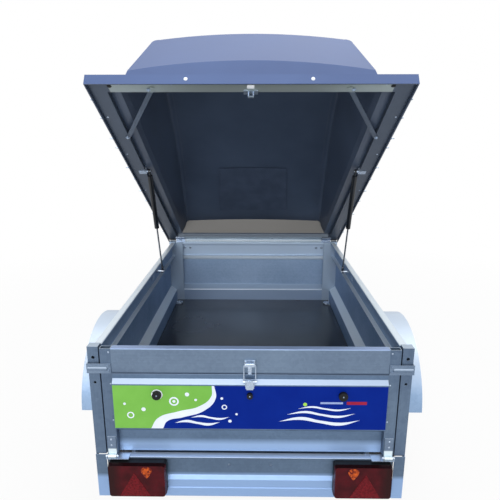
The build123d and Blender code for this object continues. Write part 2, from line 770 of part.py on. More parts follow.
def strut_parts():
    upper, lower = strut_points()
    axis_angle = radians(-lid_angle)
    dy = upper.Y - hinge_y
    dz = upper.Z - hinge_z
    open_upper = Vector(strut_x, hinge_y + dy * cos(axis_angle) - dz * sin(axis_angle),
                        hinge_z + dy * sin(axis_angle) + dz * cos(axis_angle))
    span = (lower - open_upper).length
    direction = (lower - open_upper).normalized()
    frame = Plane(origin=open_upper, x_dir=(1, 0, 0), z_dir=direction)
    eye = Rot(0, 90, 0) * (Cylinder(strut_eye_radius, 10) - Cylinder(strut_stud_radius + 0.5, 12))
    tube = Pos(0, 0, strut_tube_length / 2 + 22) * Cylinder(strut_tube_radius, strut_tube_length)
    neck = Pos(0, 0, 15) * Cylinder(4.2, 16)
    bore = Pos(0, 0, strut_tube_length / 2 + strut_bore_start) * Cylinder(strut_rod_radius + 0.8, strut_tube_length)
    cylinder = eye + (neck + tube - bore)
    rod_top = strut_tube_length - 10
    rod = Pos(0, 0, (rod_top + span - strut_eye_radius) / 2) * Cylinder(
        strut_rod_radius, span - strut_eye_radius - rod_top)
    socket = Pos(0, 0, span - 18) * Cylinder(6.5, 22)
    low_eye = Pos(0, 0, span) * eye
    rod = rod + socket - Pos(0, 0, span) * Rot(0, 90, 0) * Cylinder(strut_stud_radius + 0.5, 20) + low_eye
    return frame * cylinder, frame * rod


def strut_brackets():
    upper, lower = strut_points()
    parts = []
    face = frame_opening_half - seat
    plate = bar(face - 4, face, upper.Y - 12, upper.Y + 12, lid_base - seat - 3, lid_base + frame_rail_height - 3)
    foot = bar(face - 4, face + 30, upper.Y - 12, upper.Y + 12, lid_base - seat - 3, lid_base - seat)
    stud = rod_x(strut_stud_radius, strut_x - 7, face - 3, upper.Y, upper.Z)
    return both_sides(plate + foot + stud)


def strut_studs():
    upper, lower = strut_points()
    plate = bar(wall_half - sheet - seat - 4, wall_half - sheet - seat, lower.Y - 22, lower.Y + 22,
                lower.Z - 45, lower.Z + 8)
    stud = rod_x(strut_stud_radius, strut_x - 7, wall_half - sheet - seat - 3, lower.Y, lower.Z)
    return both_sides(plate + stud)


def tailgate_board():
    half = gate_half - post_width - seat
    return run(gate_section(), (0, rear_y, 0), (0, -1, 0), 2 * half)


def tailgate_extension():
    half = gate_half - post_width - seat
    return run(upper_section(), (0, rear_y, 0), (0, -1, 0), 2 * half)


def tailgate_stiles():
    height = box_top - foot_z
    stile = Pos(gate_half - post_width / 2, rear_y + stile_depth / 2, foot_z + height / 2) * tube_box(
        post_width, stile_depth, height, post_wall)
    return both_sides(stile)


def gate_straps():
    x = gate_half - post_width / 2
    plate = bar(x - 14, x + 14, rear_y - seat - 3, rear_y - seat, gate_axis_z, gate_axis_z + 72)
    knuckle = rod_x(6, x - 14, x + 14, gate_axis_y, gate_axis_z) - rod_x(3.4, x - 20, x + 20, gate_axis_y, gate_axis_z)
    return both_sides(plate + knuckle)


def gate_hinge_feet():
    x = gate_half - post_width / 2
    z = lamp_board_top + seat
    leaf = bar(x - 20 - hinge_tab, x + 20, gate_axis_y - 6, rear_y + 18, z, z + 2.5)
    pin = rod_x(3, x - 22, x + 22, gate_axis_y, gate_axis_z)
    foot = leaf + pin
    for start in (x - 20, x + 16):
        foot += bar(start, start + 4, gate_axis_y - 5.5, gate_axis_y + 5.5, z, gate_axis_z)
        foot += rod_x(5.5, start, start + 4, gate_axis_y, gate_axis_z)
    return both_sides(foot)


def gate_clamps():
    """Clips that hold the tailgate's stiles to the rear posts: screwed to the stile, hooked over the post."""
    x0 = gate_half - post_width + 2
    x1 = body_width / 2 + 1
    z = box_top - clamp_drop
    y1 = rear_y - seat
    clip = bar(x0, x1, y1 - clamp_sheet, y1, z - clamp_height / 2, z + clamp_height / 2)
    rib = bar(x0 + 12, x1 - 2, y1 - clamp_sheet - 4, y1 - 1, z - 6, z + 6)
    rib = chamfer(rib.edges().filter_by(Axis.X).group_by(Axis.Y)[0], 3.5)
    hook = bar(x1, x1 + clamp_sheet, y1 - clamp_sheet, y1 + 22, z - clamp_height / 2, z + clamp_height / 2)
    screws = rod_y(5, y1 - clamp_sheet - 3, y1 - 1, x0 + 9, z + 9) + rod_y(5, y1 - clamp_sheet - 3, y1 - 1, x0 + 9, z - 9)
    return both_sides(clip + rib + hook + screws)


def toggle_latch():
    """Over-centre latch: hook plate on the upper board, lever on the lower board's ledge, wire loop between."""
    y = rear_y - seat
    strike_z = box_top - latch_drop
    strike = bar(-18, 18, y - 2.5, y, strike_z - 12, strike_z + 12)
    hook = bar(-13, 13, y - 14, y - 2, strike_z - 2, strike_z + 1) + bar(-13, 13, y - 15, y - 12, strike_z - 2, strike_z + 7)
    for x in (-14, 14):
        strike += rod_y(3, y - 4.5, y - 2, x, strike_z + 8)
    base_y = rear_y - bulge - seat
    z = floor_top + ledge_bottom
    pivot_z = z + 16
    base = bar(-14, 14, base_y - 2.5, base_y, z - 12, z + 22)
    for x in (-15, 13):
        base += bar(x, x + 2, base_y - 13, base_y - 1, z + 2, z + 22)
    lever = bar(-11, 11, base_y - 13, base_y - 9, z - 10, z + 22)
    pivot = rod_x(3.5, -latch_loop_half - 1.5, latch_loop_half + 1.5, base_y - 7, pivot_z)
    reach = strike_z + 6 - pivot_z
    wire_plane = Plane(origin=(0, base_y - 7, pivot_z), x_dir=(1, 0, 0), z_dir=(0, -1, 0))
    side = latch_loop_half - 2
    path = wire_plane * FilletPolyline((-side, 0), (-side, reach), (side, reach), (side, 0), radius=8)
    wire = sweep(Plane(origin=path @ 0, z_dir=path % 0) * Circle(latch_wire_radius), path=path)
    return [strike + hook, base + lever + pivot + wire]


def build():
    lower = lower_section()
    upper = upper_section()
    rear_posts, front_posts = posts()
    clamp, crank, leg, fork, jockey_tyre = jockey_parts()
    tyre_solid = tyre()
    rim_solid = wheel_rim()
    cylinder, rod = strut_parts()
    arm = swing_arm()
    lamp_body = lamp("body")
    lamp_lens = lamp("lens")
    return {
        "floor_board": floor_board(),
        "chassis_frame": chassis_frame(),
        "lamp_board": lamp_board(),
        "drawbar": drawbar(),
        "coupling_head": coupling_head(),
        "coupling_lever": coupling_lever(),
        "axle_beam": axle_beam(),
        "swing_arms": group(both_sides(arm)),
        "left_board": side_board(lower, -1),
        "right_board": side_board(lower, 1),
        "front_board": front_board(lower),
        "upper_boards": group([side_board(upper, -1), side_board(upper, 1), front_board(upper)]),
        "corner_posts": group(rear_posts + front_posts),
        "mudguard_left": mudguard(-1),
        "mudguard_right": mudguard(1),
        "lamp_bodies": group(both_sides(lamp_body)),
        "lamp_lenses": group(both_sides(lamp_lens)),
        "tie_rings": group(tie_rings()),
        "tarp_buttons": group(side_buttons()),
        "strut_studs": group(strut_studs()),
        "gate_hinge_feet": group(gate_hinge_feet()),
        "jockey_clamp": clamp,
        "jockey_crank": crank,
        "jockey_leg": leg,
        "jockey_fork": fork,
        "jockey_wheel": jockey_tyre,
        "wheel_rim_left": place_wheel(rim_solid, -1),
        "wheel_rim_right": place_wheel(rim_solid, 1),
        "tyre_left": place_wheel(tyre_solid, -1),
        "tyre_right": place_wheel(tyre_solid, 1),
        "tailgate_board": tailgate_board(),
        "tailgate_extension": tailgate_extension(),
        "tailgate_stiles": group(tailgate_stiles()),
        "tailgate_straps": group(gate_straps()),
        "tailgate_clamps": group(gate_clamps()),
        "tailgate_buttons": group(gate_buttons()),
        "toggle_latch": group(toggle_latch()),
        "lid_shell": turned(lid_shell()),
        "lid_frame": turned(lid_frame()),
        "lid_braces": group([turned(p) for p in lid_braces()]),
        "lid_keeper": turned(lid_keeper()),
        "lid_hinge_leaves": group([turned(p) for p in lid_leaves()]),
        "body_hinge_leaves": group(body_leaves()),
        "strut_brackets": group([turned(p) for p in strut_brackets()]),
        "strut_cylinder_left": mirror(cylinder, Plane.YZ),
        "strut_cylinder_right": cylinder,
        "strut_rod_left": mirror(rod, Plane.YZ),
        "strut_rod_right": rod,
    }


os.makedirs("parts", exist_ok=True)
for name, shape in build().items():
    export_step(shape, f"parts/{name}.step")
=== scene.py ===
import json
from math import atan2, cos, pi, radians, sin

import bmesh
import bpy
from mathutils import Matrix, Vector
from mathutils.bvhtree import BVHTree


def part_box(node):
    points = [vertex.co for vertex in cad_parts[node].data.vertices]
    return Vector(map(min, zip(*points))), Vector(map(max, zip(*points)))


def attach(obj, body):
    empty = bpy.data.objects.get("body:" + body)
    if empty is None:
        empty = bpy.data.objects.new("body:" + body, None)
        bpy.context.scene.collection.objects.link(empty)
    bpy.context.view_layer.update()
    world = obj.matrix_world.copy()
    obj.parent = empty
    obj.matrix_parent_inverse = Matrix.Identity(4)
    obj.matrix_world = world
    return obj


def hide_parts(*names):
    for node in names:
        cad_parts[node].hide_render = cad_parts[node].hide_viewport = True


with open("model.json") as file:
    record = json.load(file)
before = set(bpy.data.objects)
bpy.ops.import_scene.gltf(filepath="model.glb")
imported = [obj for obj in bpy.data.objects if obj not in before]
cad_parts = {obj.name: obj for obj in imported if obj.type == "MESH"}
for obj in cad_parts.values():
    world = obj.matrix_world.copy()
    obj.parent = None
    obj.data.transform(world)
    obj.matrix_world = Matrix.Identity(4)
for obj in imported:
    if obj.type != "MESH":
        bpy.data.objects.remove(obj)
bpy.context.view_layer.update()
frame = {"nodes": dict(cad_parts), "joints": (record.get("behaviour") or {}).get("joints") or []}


# Studio: a pale floor and a white surround, lit by a broad soft panel overhead and another high behind
# the camera. Camera, glossy and transmission rays see the surround as plain white, others see it dimmer.
def linear(code):
    """Scene-linear colour of an sRGB hex value."""
    parts = [int(code[i:i + 2], 16) / 255 for i in (1, 3, 5)]
    return tuple(c / 12.92 if c <= 0.04045 else ((c + 0.055) / 1.055) ** 2.4 for c in parts) + (1.0,)


def add_node(tree, kind, links=None, **settings):
    """Adds one node. Settings are its own fields, links are its inputs: a value, or another node's output."""
    made = tree.nodes.new(kind)
    for field, value in settings.items():
        setattr(made, field, value)
    for socket, value in (links or {}).items():
        if isinstance(value, bpy.types.NodeSocket):
            tree.links.new(value, made.inputs[socket])
        else:
            made.inputs[socket].default_value = value
    return made


surround_level = 0.5
world = bpy.data.worlds.new("studio_surround")
world.use_nodes = True
bpy.context.scene.world = world
sky = world.node_tree
sky.nodes.clear()
path = add_node(sky, "ShaderNodeLightPath")
seen = add_node(sky, "ShaderNodeMath", {0: path.outputs["Is Camera Ray"], 1: path.outputs["Is Glossy Ray"]},
                operation="MAXIMUM")
seen = add_node(sky, "ShaderNodeMath", {0: seen.outputs[0], 1: path.outputs["Is Transmission Ray"]},
                operation="MAXIMUM")
level = add_node(sky, "ShaderNodeMapRange", {"Value": seen.outputs[0], "To Min": surround_level,
                                             "To Max": 1.0})
background = add_node(sky, "ShaderNodeBackground", {"Color": (1, 1, 1, 1), "Strength": level.outputs[0]})
add_node(sky, "ShaderNodeOutputWorld", {"Surface": background.outputs[0]})

for name, power, size, place, aim in (
        ("overhead_panel", 115.0, 5.0, (0.2, -0.6, 5.0), (0, -0.2, 0.5)),
        ("rear_panel", 420.0, 5.0, (-1.2, -9.0, 4.2), (0, 0, 0.7))):
    lamp = bpy.data.lights.new(name, "AREA")
    lamp.energy = power
    lamp.size = size
    fitting = bpy.data.objects.new(name, lamp)
    bpy.context.collection.objects.link(fitting)
    fitting.location = place
    fitting.rotation_euler = (Vector(aim) - Vector(place)).to_track_quat("-Z", "Y").to_euler()

# Studio floor: matt white paint. Camera rays see most of it as plain light, and all of it far off, so that it
# runs into the surround without an edge and still shows the trailer's shadow.
floor_half_size = 60
glow_starts, glow_full = 1.8, 4.5
glow_under_trailer = 0.90
floor_bm = bmesh.new()
bmesh.ops.create_grid(floor_bm, x_segments=1, y_segments=1, size=floor_half_size)
floor_mesh = bpy.data.meshes.new("studio_floor")
floor_bm.to_mesh(floor_mesh)
floor_bm.free()
studio_floor = bpy.data.objects.new("studio_floor", floor_mesh)
bpy.context.collection.objects.link(studio_floor)
floor_paint = bpy.data.materials.new("matt white floor paint")
floor_paint.use_nodes = True
floor_mesh.materials.append(floor_paint)
floor_tree = floor_paint.node_tree
floor_shader = floor_tree.nodes["Principled BSDF"]
floor_shader.inputs["Base Color"].default_value = linear("#f2f2f2")
floor_shader.inputs["Roughness"].default_value = 0.9
floor_path = add_node(floor_tree, "ShaderNodeLightPath")
floor_glow = add_node(floor_tree, "ShaderNodeEmission", {"Color": (1, 1, 1, 1), "Strength": 1.0})
floor_place = add_node(floor_tree, "ShaderNodeTexCoord")
floor_reach = add_node(floor_tree, "ShaderNodeVectorMath", {0: floor_place.outputs["Object"]},
                       operation="LENGTH")
floor_fade = add_node(floor_tree, "ShaderNodeMapRange",
                      {"Value": floor_reach.outputs["Value"], "From Min": glow_starts, "From Max": glow_full,
                       "To Min": glow_under_trailer, "To Max": 1.0})
floor_share = add_node(floor_tree, "ShaderNodeMath", {0: floor_path.outputs["Is Camera Ray"],
                                                      1: floor_fade.outputs[0]}, operation="MULTIPLY")
floor_mix = add_node(floor_tree, "ShaderNodeMixShader",
                     {0: floor_share.outputs[0], 1: floor_shader.outputs[0], 2: floor_glow.outputs[0]})
floor_tree.links.new(floor_mix.outputs[0], floor_tree.nodes["Material Output"].inputs["Surface"])

# Camera: behind the trailer, a little right of its middle and above the box, looking slightly down. Its lens,
# its place from the tailgate and its turn in degrees are those that fit the photo.
rear_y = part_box("tailgate_stiles")[0].y
camera_right, camera_back, camera_height = 0.0189, 1.3853, 1.5977
looks_down, looks_left = 14.163, 0.76
camera_data = bpy.data.cameras.new("camera")
camera_data.sensor_width = 36
camera_data.lens = 33.77
camera = bpy.data.objects.new("camera", camera_data)
bpy.context.collection.objects.link(camera)
camera.location = (camera_right, rear_y - camera_back, camera_height)
camera.rotation_euler = (radians(90 - looks_down), 0, radians(looks_left))
bpy.context.scene.camera = camera
bpy.context.scene.view_settings.view_transform = "Standard"


# Boards: continuous-galvanised sheet, roll-formed. The zinc is cool grey with faint spangle about 10 mm
# across and fine rolling streaks. Upward faces are paler, partly a bloom of zinc salts and dust and partly a
# painted highlight. Bands paint light and shade: lighter lower bands are painted light, dark lines at laps
# are painted shadow, and the boards inside the box get lighter tones than the tailgate's, as painted light.
streak_width, streak_length, cloud_size = 0.003, 0.5, 0.22
across, along_y, along_z = 0, 1, 2


def new_finish(name):
    """A material, its node tree, its shader and its texture coordinates."""
    finish = bpy.data.materials.new(name)
    finish.use_nodes = True
    tree = finish.node_tree
    return finish, tree, tree.nodes["Principled BSDF"], add_node(tree, "ShaderNodeTexCoord")


def tone_between(tree, amount, dark, light, low=0.3, high=0.7):
    """A ramp from a dark to a light tone."""
    ramp = add_node(tree, "ShaderNodeValToRGB", {"Fac": amount})
    for element, place, tone in zip(ramp.color_ramp.elements, (low, high), (dark, light)):
        element.position = place
        element.color = linear(tone)
    return ramp.outputs[0]


def zinc(name, dark, light, bloom_and_highlight, spangle, metallic, roughness, streak_axis, light_and_shade_bands=()):
    """Zinc coat on steel, or bare alloy: spangle, streaks along one axis, clouds, and paler top faces that
    are partly bloom and partly a painted highlight. A band of painted light or shade is an axis, where it
    starts, where it is full, and its tone."""
    finish, tree, shader, place = new_finish(name)
    shader.inputs["Metallic"].default_value = metallic
    cells = add_node(tree, "ShaderNodeTexVoronoi", {"Vector": place.outputs["Object"], "Scale": 1 / spangle})
    stretch = [1 / streak_width] * 3
    stretch[streak_axis] = 1 / streak_length
    drawn = add_node(tree, "ShaderNodeMapping", {"Vector": place.outputs["Object"], "Scale": stretch})
    streaks = add_node(tree, "ShaderNodeTexNoise", {"Vector": drawn.outputs[0], "Scale": 1.0, "Detail": 2.0})
    cloud = add_node(tree, "ShaderNodeTexNoise", {"Vector": place.outputs["Object"], "Scale": 1 / cloud_size,
                                                  "Detail": 4.0})
    cell = add_node(tree, "ShaderNodeSeparateColor", {"Color": cells.outputs["Color"]})
    amount = add_node(tree, "ShaderNodeMath", {0: cell.outputs[0], 1: 0.12}, operation="MULTIPLY")
    for source, share in ((streaks.outputs["Fac"], 0.2), (cloud.outputs["Fac"], 0.7)):
        amount = add_node(tree, "ShaderNodeMath", {0: source, 1: share, 2: amount.outputs[0]},
                          operation="MULTIPLY_ADD")
    colour = tone_between(tree, amount.outputs[0], dark, light, 0.35, 0.75)
    # Upward faces turn toward the bloom tone: partly zinc bloom and dust, partly a painted highlight.
    facing_up = add_node(tree, "ShaderNodeSeparateXYZ", {"Vector": place.outputs["Normal"]})
    upward = add_node(tree, "ShaderNodeMapRange", {"Value": facing_up.outputs["Z"], "From Min": 0.3,
                                                   "From Max": 0.8})
    colour = add_node(tree, "ShaderNodeMix", {0: upward.outputs[0], 6: colour, 7: linear(bloom_and_highlight)},
                      data_type="RGBA").outputs[2]
    spot = add_node(tree, "ShaderNodeSeparateXYZ", {"Vector": place.outputs["Object"]})
    # Each band paints light or shade: a lighter or darker tone over part of an axis.
    for axis, start, full, tone in light_and_shade_bands:
        share = add_node(tree, "ShaderNodeMapRange", {"Value": spot.outputs[axis], "From Min": start,
                                                      "From Max": full})
        colour = add_node(tree, "ShaderNodeMix", {0: share.outputs[0], 6: colour, 7: linear(tone)},
                          data_type="RGBA").outputs[2]
    rough = add_node(tree, "ShaderNodeMapRange",
                     {"Value": amount.outputs[0], "From Min": 0.3, "From Max": 0.7,
                      "To Min": roughness + 0.06, "To Max": roughness - 0.06})
    bump = add_node(tree, "ShaderNodeBump", {"Height": streaks.outputs["Fac"], "Strength": 0.03,
                                             "Distance": 0.001})
    tree.links.new(colour, shader.inputs["Base Color"])
    tree.links.new(rough.outputs[0], shader.inputs["Roughness"])
    tree.links.new(bump.outputs[0], shader.inputs["Normal"])
    return finish


def finish_nodes(finish, *names):
    """Gives CAD nodes a finish, in every slot they have."""
    for name in names:
        for slot in frame["nodes"][name].material_slots:
            slot.material = finish


board_spangle = 0.010
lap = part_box("tailgate_board")[1].z
# Below 572 mm the tailgate board is painted lighter, a painted highlight, and its top edge under the lap is
# painted dark, a painted shadow under the extension.
gate_sheet = zinc("galvanised sheet of the tailgate", "#526883", "#647c99", "#c4d5ec", board_spangle, 0.45,
                  0.40, across, [(along_z, 0.572, 0.548, "#93b0d8"),
                                 (along_z, lap - 0.005, lap - 0.002, "#4c5d74")])
finish_nodes(gate_sheet, "tailgate_board")
# A dark band along its lower edge, up to 8 mm above the lap, is painted shadow in the joint with the board
# below.
extension_sheet = zinc("galvanised sheet of the tailgate's extension", "#5f7188", "#71859c", "#90a6cc",
                       board_spangle, 0.45, 0.40, across, [(along_z, lap + 0.008, lap + 0.003, "#4c5d74")])
finish_nodes(extension_sheet, "tailgate_extension")
# Below 447 mm the lamp board is painted lighter, so that its upper part reads as painted shade under the
# tailgate's edge.
lamp_sheet = zinc("galvanised sheet of the lamp board", "#50647c", "#60768f", "#c2d4ec", board_spangle, 0.45,
                  0.40, across, [(along_z, 0.447, 0.430, "#8aa8d2")])
finish_nodes(lamp_sheet, "lamp_board")
# The boards inside the box are given lighter tones than those of the tailgate: painted light, for the light
# that reaches them.
side_sheet = zinc("galvanised sheet rolled lengthways", "#7898c0", "#90aed6", "#e2eef8", board_spangle, 0.25,
                  0.40, along_y)
finish_nodes(side_sheet, "left_board", "right_board")
# The front extension board, from 320 mm forward, is painted lighter still: a painted highlight where it faces
# the light from behind.
upper_sheet = zinc("galvanised sheet of the upper boards", "#7592b8", "#8ba9ce", "#e2eef8", board_spangle,
                   0.25, 0.40, along_y, [(along_y, 0.320, 0.327, "#bbd0e8")])
finish_nodes(upper_sheet, "upper_boards")
# The front board has the lightest tone of the boards, painted light; above 797 mm its ledge is painted near
# white, and a near-white line between about 603 and 611 mm, both painted highlights.
front_sheet = zinc("galvanised sheet of the front board", "#8ba6c8", "#a4bedf", "#aac0da", board_spangle,
                   0.25, 0.40, across, [(along_z, 0.797, 0.800, "#e2f1ff"),
                                        (along_z, 0.611, 0.607, "#dcebfc"),
                                        (along_z, 0.6035, 0.6025, "#8ea5c5")])
finish_nodes(front_sheet, "front_board")

# Posts, stiles, frame, axle and drawbar: steel sections hot-dip galvanised after welding. The coat is
# thicker and duller than on the sheet, with larger soft patches. From y 0 to 0.1 m forward it is painted
# lighter: a painted highlight on the front posts, which face the light from behind.
dipped = zinc("hot-dip galvanised steel", "#4e617a", "#657990", "#aebdcd", 0.016, 0.45, 0.5, along_z,
              [(along_y, 0.0, 0.1, "#a3b7cd")])
finish_nodes(dipped, "corner_posts", "tailgate_stiles", "chassis_frame", "axle_beam", "swing_arms", "drawbar")

# Mudguards: pressed from galvanised sheet, with a brighter and more even coat than the boards. They hang on
# spacers at the side boards.
guard_zinc = zinc("bright galvanised sheet", "#84a0c2", "#9db8d8", "#d0deee", 0.014, 0.3, 0.4, along_y)
finish_nodes(guard_zinc, "mudguard_left", "mudguard_right")

# Small pressings and bolts: steel with bright zinc plate, smoother than the dipped coat. Weather has dulled
# it on the tailgate's straps and clamps.
plated = zinc("bright zinc plate", "#8e9fb5", "#c4d2e4", "#dbe6f2", 0.006, 0.75, 0.3, across)
finish_nodes(plated, "coupling_head", "tie_rings", "strut_studs", "gate_hinge_feet", "body_hinge_leaves",
             "jockey_clamp", "jockey_crank", "jockey_leg", "jockey_fork", "lid_keeper", "lid_hinge_leaves",
             "strut_brackets", "toggle_latch")
# Below 545 mm the straps are painted near white: a painted highlight where they turn round the tailgate's
# lower edge.
strap_zinc = zinc("zinc plate dulled by weather", "#5c6e86", "#7a8ca4", "#dbe6f2", 0.006, 0.45, 0.36, across,
                  [(along_z, 0.549, 0.545, "#dcebf2")])
finish_nodes(strap_zinc, "tailgate_straps")
clamp_zinc = zinc("zinc plate of the clamps", "#64778f", "#8597ae", "#a9bace", 0.006, 0.45, 0.36, across)
finish_nodes(clamp_zinc, "tailgate_clamps")

# Floor: film-faced birch plywood laid on the frame. The phenolic film is dark and half glossy, scuffed
# lengthways by loads and stained a little brown.
ply, tree, shader, place = new_finish("phenolic film-faced plywood")
drag = add_node(tree, "ShaderNodeMapping", {"Vector": place.outputs["Object"], "Scale": (30, 5, 1)})
scuff = add_node(tree, "ShaderNodeTexNoise", {"Vector": drag.outputs[0], "Scale": 1.0, "Detail": 5.0,
                                              "Roughness": 0.55})
dust = add_node(tree, "ShaderNodeTexNoise", {"Vector": place.outputs["Object"], "Scale": 2.6, "Detail": 3.0})
stain = add_node(tree, "ShaderNodeTexNoise", {"Vector": place.outputs["Object"], "Scale": 3.4, "Detail": 1.0,
                                              "Distortion": 0.3})
worn = add_node(tree, "ShaderNodeMath", {0: scuff.outputs["Fac"], 1: 0.18, 2: dust.outputs["Fac"]},
                operation="MULTIPLY_ADD")
film_tone = tone_between(tree, worn.outputs[0], "#262b32", "#363b45", 0.40, 0.80)
stained = add_node(tree, "ShaderNodeMapRange", {"Value": stain.outputs["Fac"], "From Min": 0.4,
                                                "From Max": 0.85, "To Max": 0.8})
colour = add_node(tree, "ShaderNodeMix", {0: stained.outputs[0], 6: film_tone, 7: linear("#3c3536")},
                  data_type="RGBA")
rough = add_node(tree, "ShaderNodeMapRange", {"Value": worn.outputs[0], "From Min": 0.4, "From Max": 0.8,
                                              "To Min": 0.22, "To Max": 0.3})
bump = add_node(tree, "ShaderNodeBump", {"Height": scuff.outputs["Fac"], "Strength": 0.02,
                                         "Distance": 0.0005})
tree.links.new(colour.outputs[2], shader.inputs["Base Color"])
tree.links.new(rough.outputs[0], shader.inputs["Roughness"])
tree.links.new(bump.outputs[0], shader.inputs["Normal"])
finish_nodes(ply, "floor_board")


# Moulded parts: polypropylene buttons and lever, ABS lamp housings, rubber roller. Fine matt grain. The
# enamelled rims and struts and the chromed rods share the same soft change of tone.
def moulded(name, dark, light, roughness, grain_size, grain_depth=0.2, metallic=0.0, specular=0.5):
    """A moulded polymer, rubber or enamel: slow change of tone, and fine grain in the bump."""
    finish, tree, shader, place = new_finish(name)
    cloud = add_node(tree, "ShaderNodeTexNoise", {"Vector": place.outputs["Object"], "Scale": 14,
                                                  "Detail": 5.0})
    grain = add_node(tree, "ShaderNodeTexNoise", {"Vector": place.outputs["Object"], "Scale": 1 / grain_size})
    bump = add_node(tree, "ShaderNodeBump", {"Height": grain.outputs["Fac"], "Strength": grain_depth,
                                             "Distance": 0.0004})
    tree.links.new(tone_between(tree, cloud.outputs["Fac"], dark, light, 0.3, 0.75),
                   shader.inputs["Base Color"])
    tree.links.new(bump.outputs[0], shader.inputs["Normal"])
    shader.inputs["Roughness"].default_value = roughness
    shader.inputs["Metallic"].default_value = metallic
    shader.inputs["Specular IOR Level"].default_value = specular
    return finish


black_moulded = moulded("black moulded polypropylene", "#0a0b0d", "#141619", 0.45, 0.0012, 0.1, 0.0, 0.25)
finish_nodes(black_moulded, "tarp_buttons", "tailgate_buttons", "lamp_bodies", "coupling_lever")
roller_rubber = moulded("solid black rubber", "#1a1b1c", "#303132", 0.68, 0.0015)
finish_nodes(roller_rubber, "jockey_wheel")
rim_enamel = moulded("silver wheel enamel", "#9ea4aa", "#b9bec3", 0.34, 0.0008, 0.1, 0.3)
finish_nodes(rim_enamel, "wheel_rim_left", "wheel_rim_right")
enamel = moulded("black enamel on steel", "#0b0f14", "#151b23", 0.3, 0.002, 0.05)
finish_nodes(enamel, "strut_cylinder_left", "strut_cylinder_right")
chrome = moulded("hard chrome on steel", "#80858e", "#b4b9c0", 0.16, 0.002, 0.03, 1.0)
finish_nodes(chrome, "strut_rod_left", "strut_rod_right")

# Lid shell: vacuum-formed ABS sheet with a smooth cap outside and a raw inner face. The outside is painted
# slate blue, a painted sky reflection, and the inside darker, a painted shade, with the inner front wall
# painted lighter where it faces the light from behind, a painted highlight. Which face a point is on is read
# from its normal against a line from a point under the dome.
lid_raised = 32
lid_joint = next(joint for joint in frame["joints"] if joint["name"] == "lid_hinge")
lid_turn = Matrix.Translation(Vector(lid_joint["pos_m"])) @ Matrix.Rotation(radians(-lid_raised), 4, "X")
under_dome = lid_turn @ Vector((0, -0.8, -0.06))
backward = lid_turn.to_3x3() @ Vector((0, -1, 0))
shell_abs, tree, shader, place = new_finish("vacuum-formed ABS, slate blue outside and dark inside")
arm = add_node(tree, "ShaderNodeVectorMath", {0: place.outputs["Object"], 1: under_dome},
               operation="SUBTRACT")
side = add_node(tree, "ShaderNodeVectorMath", {0: arm.outputs[0], 1: place.outputs["Normal"]},
                operation="DOT_PRODUCT")
outside = add_node(tree, "ShaderNodeMath", {0: side.outputs["Value"], 1: 0.0}, operation="GREATER_THAN")
front_wall = add_node(tree, "ShaderNodeVectorMath", {0: place.outputs["Normal"], 1: backward},
                      operation="DOT_PRODUCT")
front_wall_highlight = add_node(tree, "ShaderNodeMapRange", {"Value": front_wall.outputs["Value"], "From Min": 0.5,
                                                   "From Max": 0.8})
grain = add_node(tree, "ShaderNodeTexNoise", {"Vector": place.outputs["Object"], "Scale": 1 / 0.0016,
                                              "Detail": 2.0})
cloud = add_node(tree, "ShaderNodeTexNoise", {"Vector": place.outputs["Object"], "Scale": 2.6, "Detail": 5.0})
# The outer tones are bluer than the inner ones: a painted sky reflection outside and painted shade inside.
outer = tone_between(tree, cloud.outputs["Fac"], "#364f80", "#425b8c")
inner = tone_between(tree, cloud.outputs["Fac"], "#364256", "#46546a")
# The inner front wall, where it faces back, is painted lighter: a painted highlight.
inner = add_node(tree, "ShaderNodeMix", {0: front_wall_highlight.outputs[0], 6: inner, 7: linear("#75736f")},
                 data_type="RGBA").outputs[2]
colour = add_node(tree, "ShaderNodeMix", {0: outside.outputs[0], 6: inner, 7: outer}, data_type="RGBA")
rough = add_node(tree, "ShaderNodeMapRange", {"Value": cloud.outputs["Fac"], "To Min": 0.3, "To Max": 0.44})
bump = add_node(tree, "ShaderNodeBump", {"Height": grain.outputs["Fac"], "Strength": 0.1, "Distance": 0.0004})
tree.links.new(colour.outputs[2], shader.inputs["Base Color"])
tree.links.new(rough.outputs[0], shader.inputs["Roughness"])
tree.links.new(bump.outputs[0], shader.inputs["Normal"])
finish_nodes(shell_abs, "lid_shell")

# Lid frame and braces: mill-finish aluminium tube and flat, drawn lengthways. The side rails are painted
# darker, a painted shade, and the rear rail lighter, a painted highlight.
rear_rail_back, side_rail_x = 1.500, 0.468
rear_rail_z = (lid_turn @ Vector((0, -rear_rail_back, 0))).z
# The rear rail is painted lighter, a painted highlight, and the side rails darker, a painted shade.
rail_alloy = zinc("mill-finish aluminium", "#465160", "#5d697a", "#a5b2c0", 0.03, 0.5, 0.4, along_y,
                  [(along_z, rear_rail_z, rear_rail_z + 0.004, "#9aa5a5"),
                   (across, side_rail_x, side_rail_x + 0.003, "#495464"),
                   (across, -side_rail_x, -side_rail_x - 0.003, "#495464")])
finish_nodes(rail_alloy, "lid_frame", "lid_braces")


# Rivets and bolts of the lid: aluminium blind rivets hold the skirt to its frame. Two white lacquered ones
# show on the rear edge, and bolt ends with nuts stand out of the sides. Places on the lid are in metres from
# the middle of its hinge, with the lid shut.
rearward = (0, -1, 0)


def facing(place, direction):
    """A matrix that puts a shape's Z along a direction at a place."""
    return Matrix.Translation(place) @ Vector(direction).to_track_quat("Z", "Y").to_matrix().to_4x4()


def edges_of(verts):
    """The edges that meet some vertices, each once."""
    return list(dict.fromkeys(edge for vert in verts for edge in vert.link_edges))


def add_cone(bm, spot, low, high, start, end, sides=24):
    """A turned length between two heights, with the radius at each."""
    middle = spot @ Matrix.Translation((0, 0, (start + end) / 2))
    return bmesh.ops.create_cone(bm, cap_ends=True, segments=sides, radius1=low, radius2=high,
                                 depth=end - start, matrix=middle)["verts"]


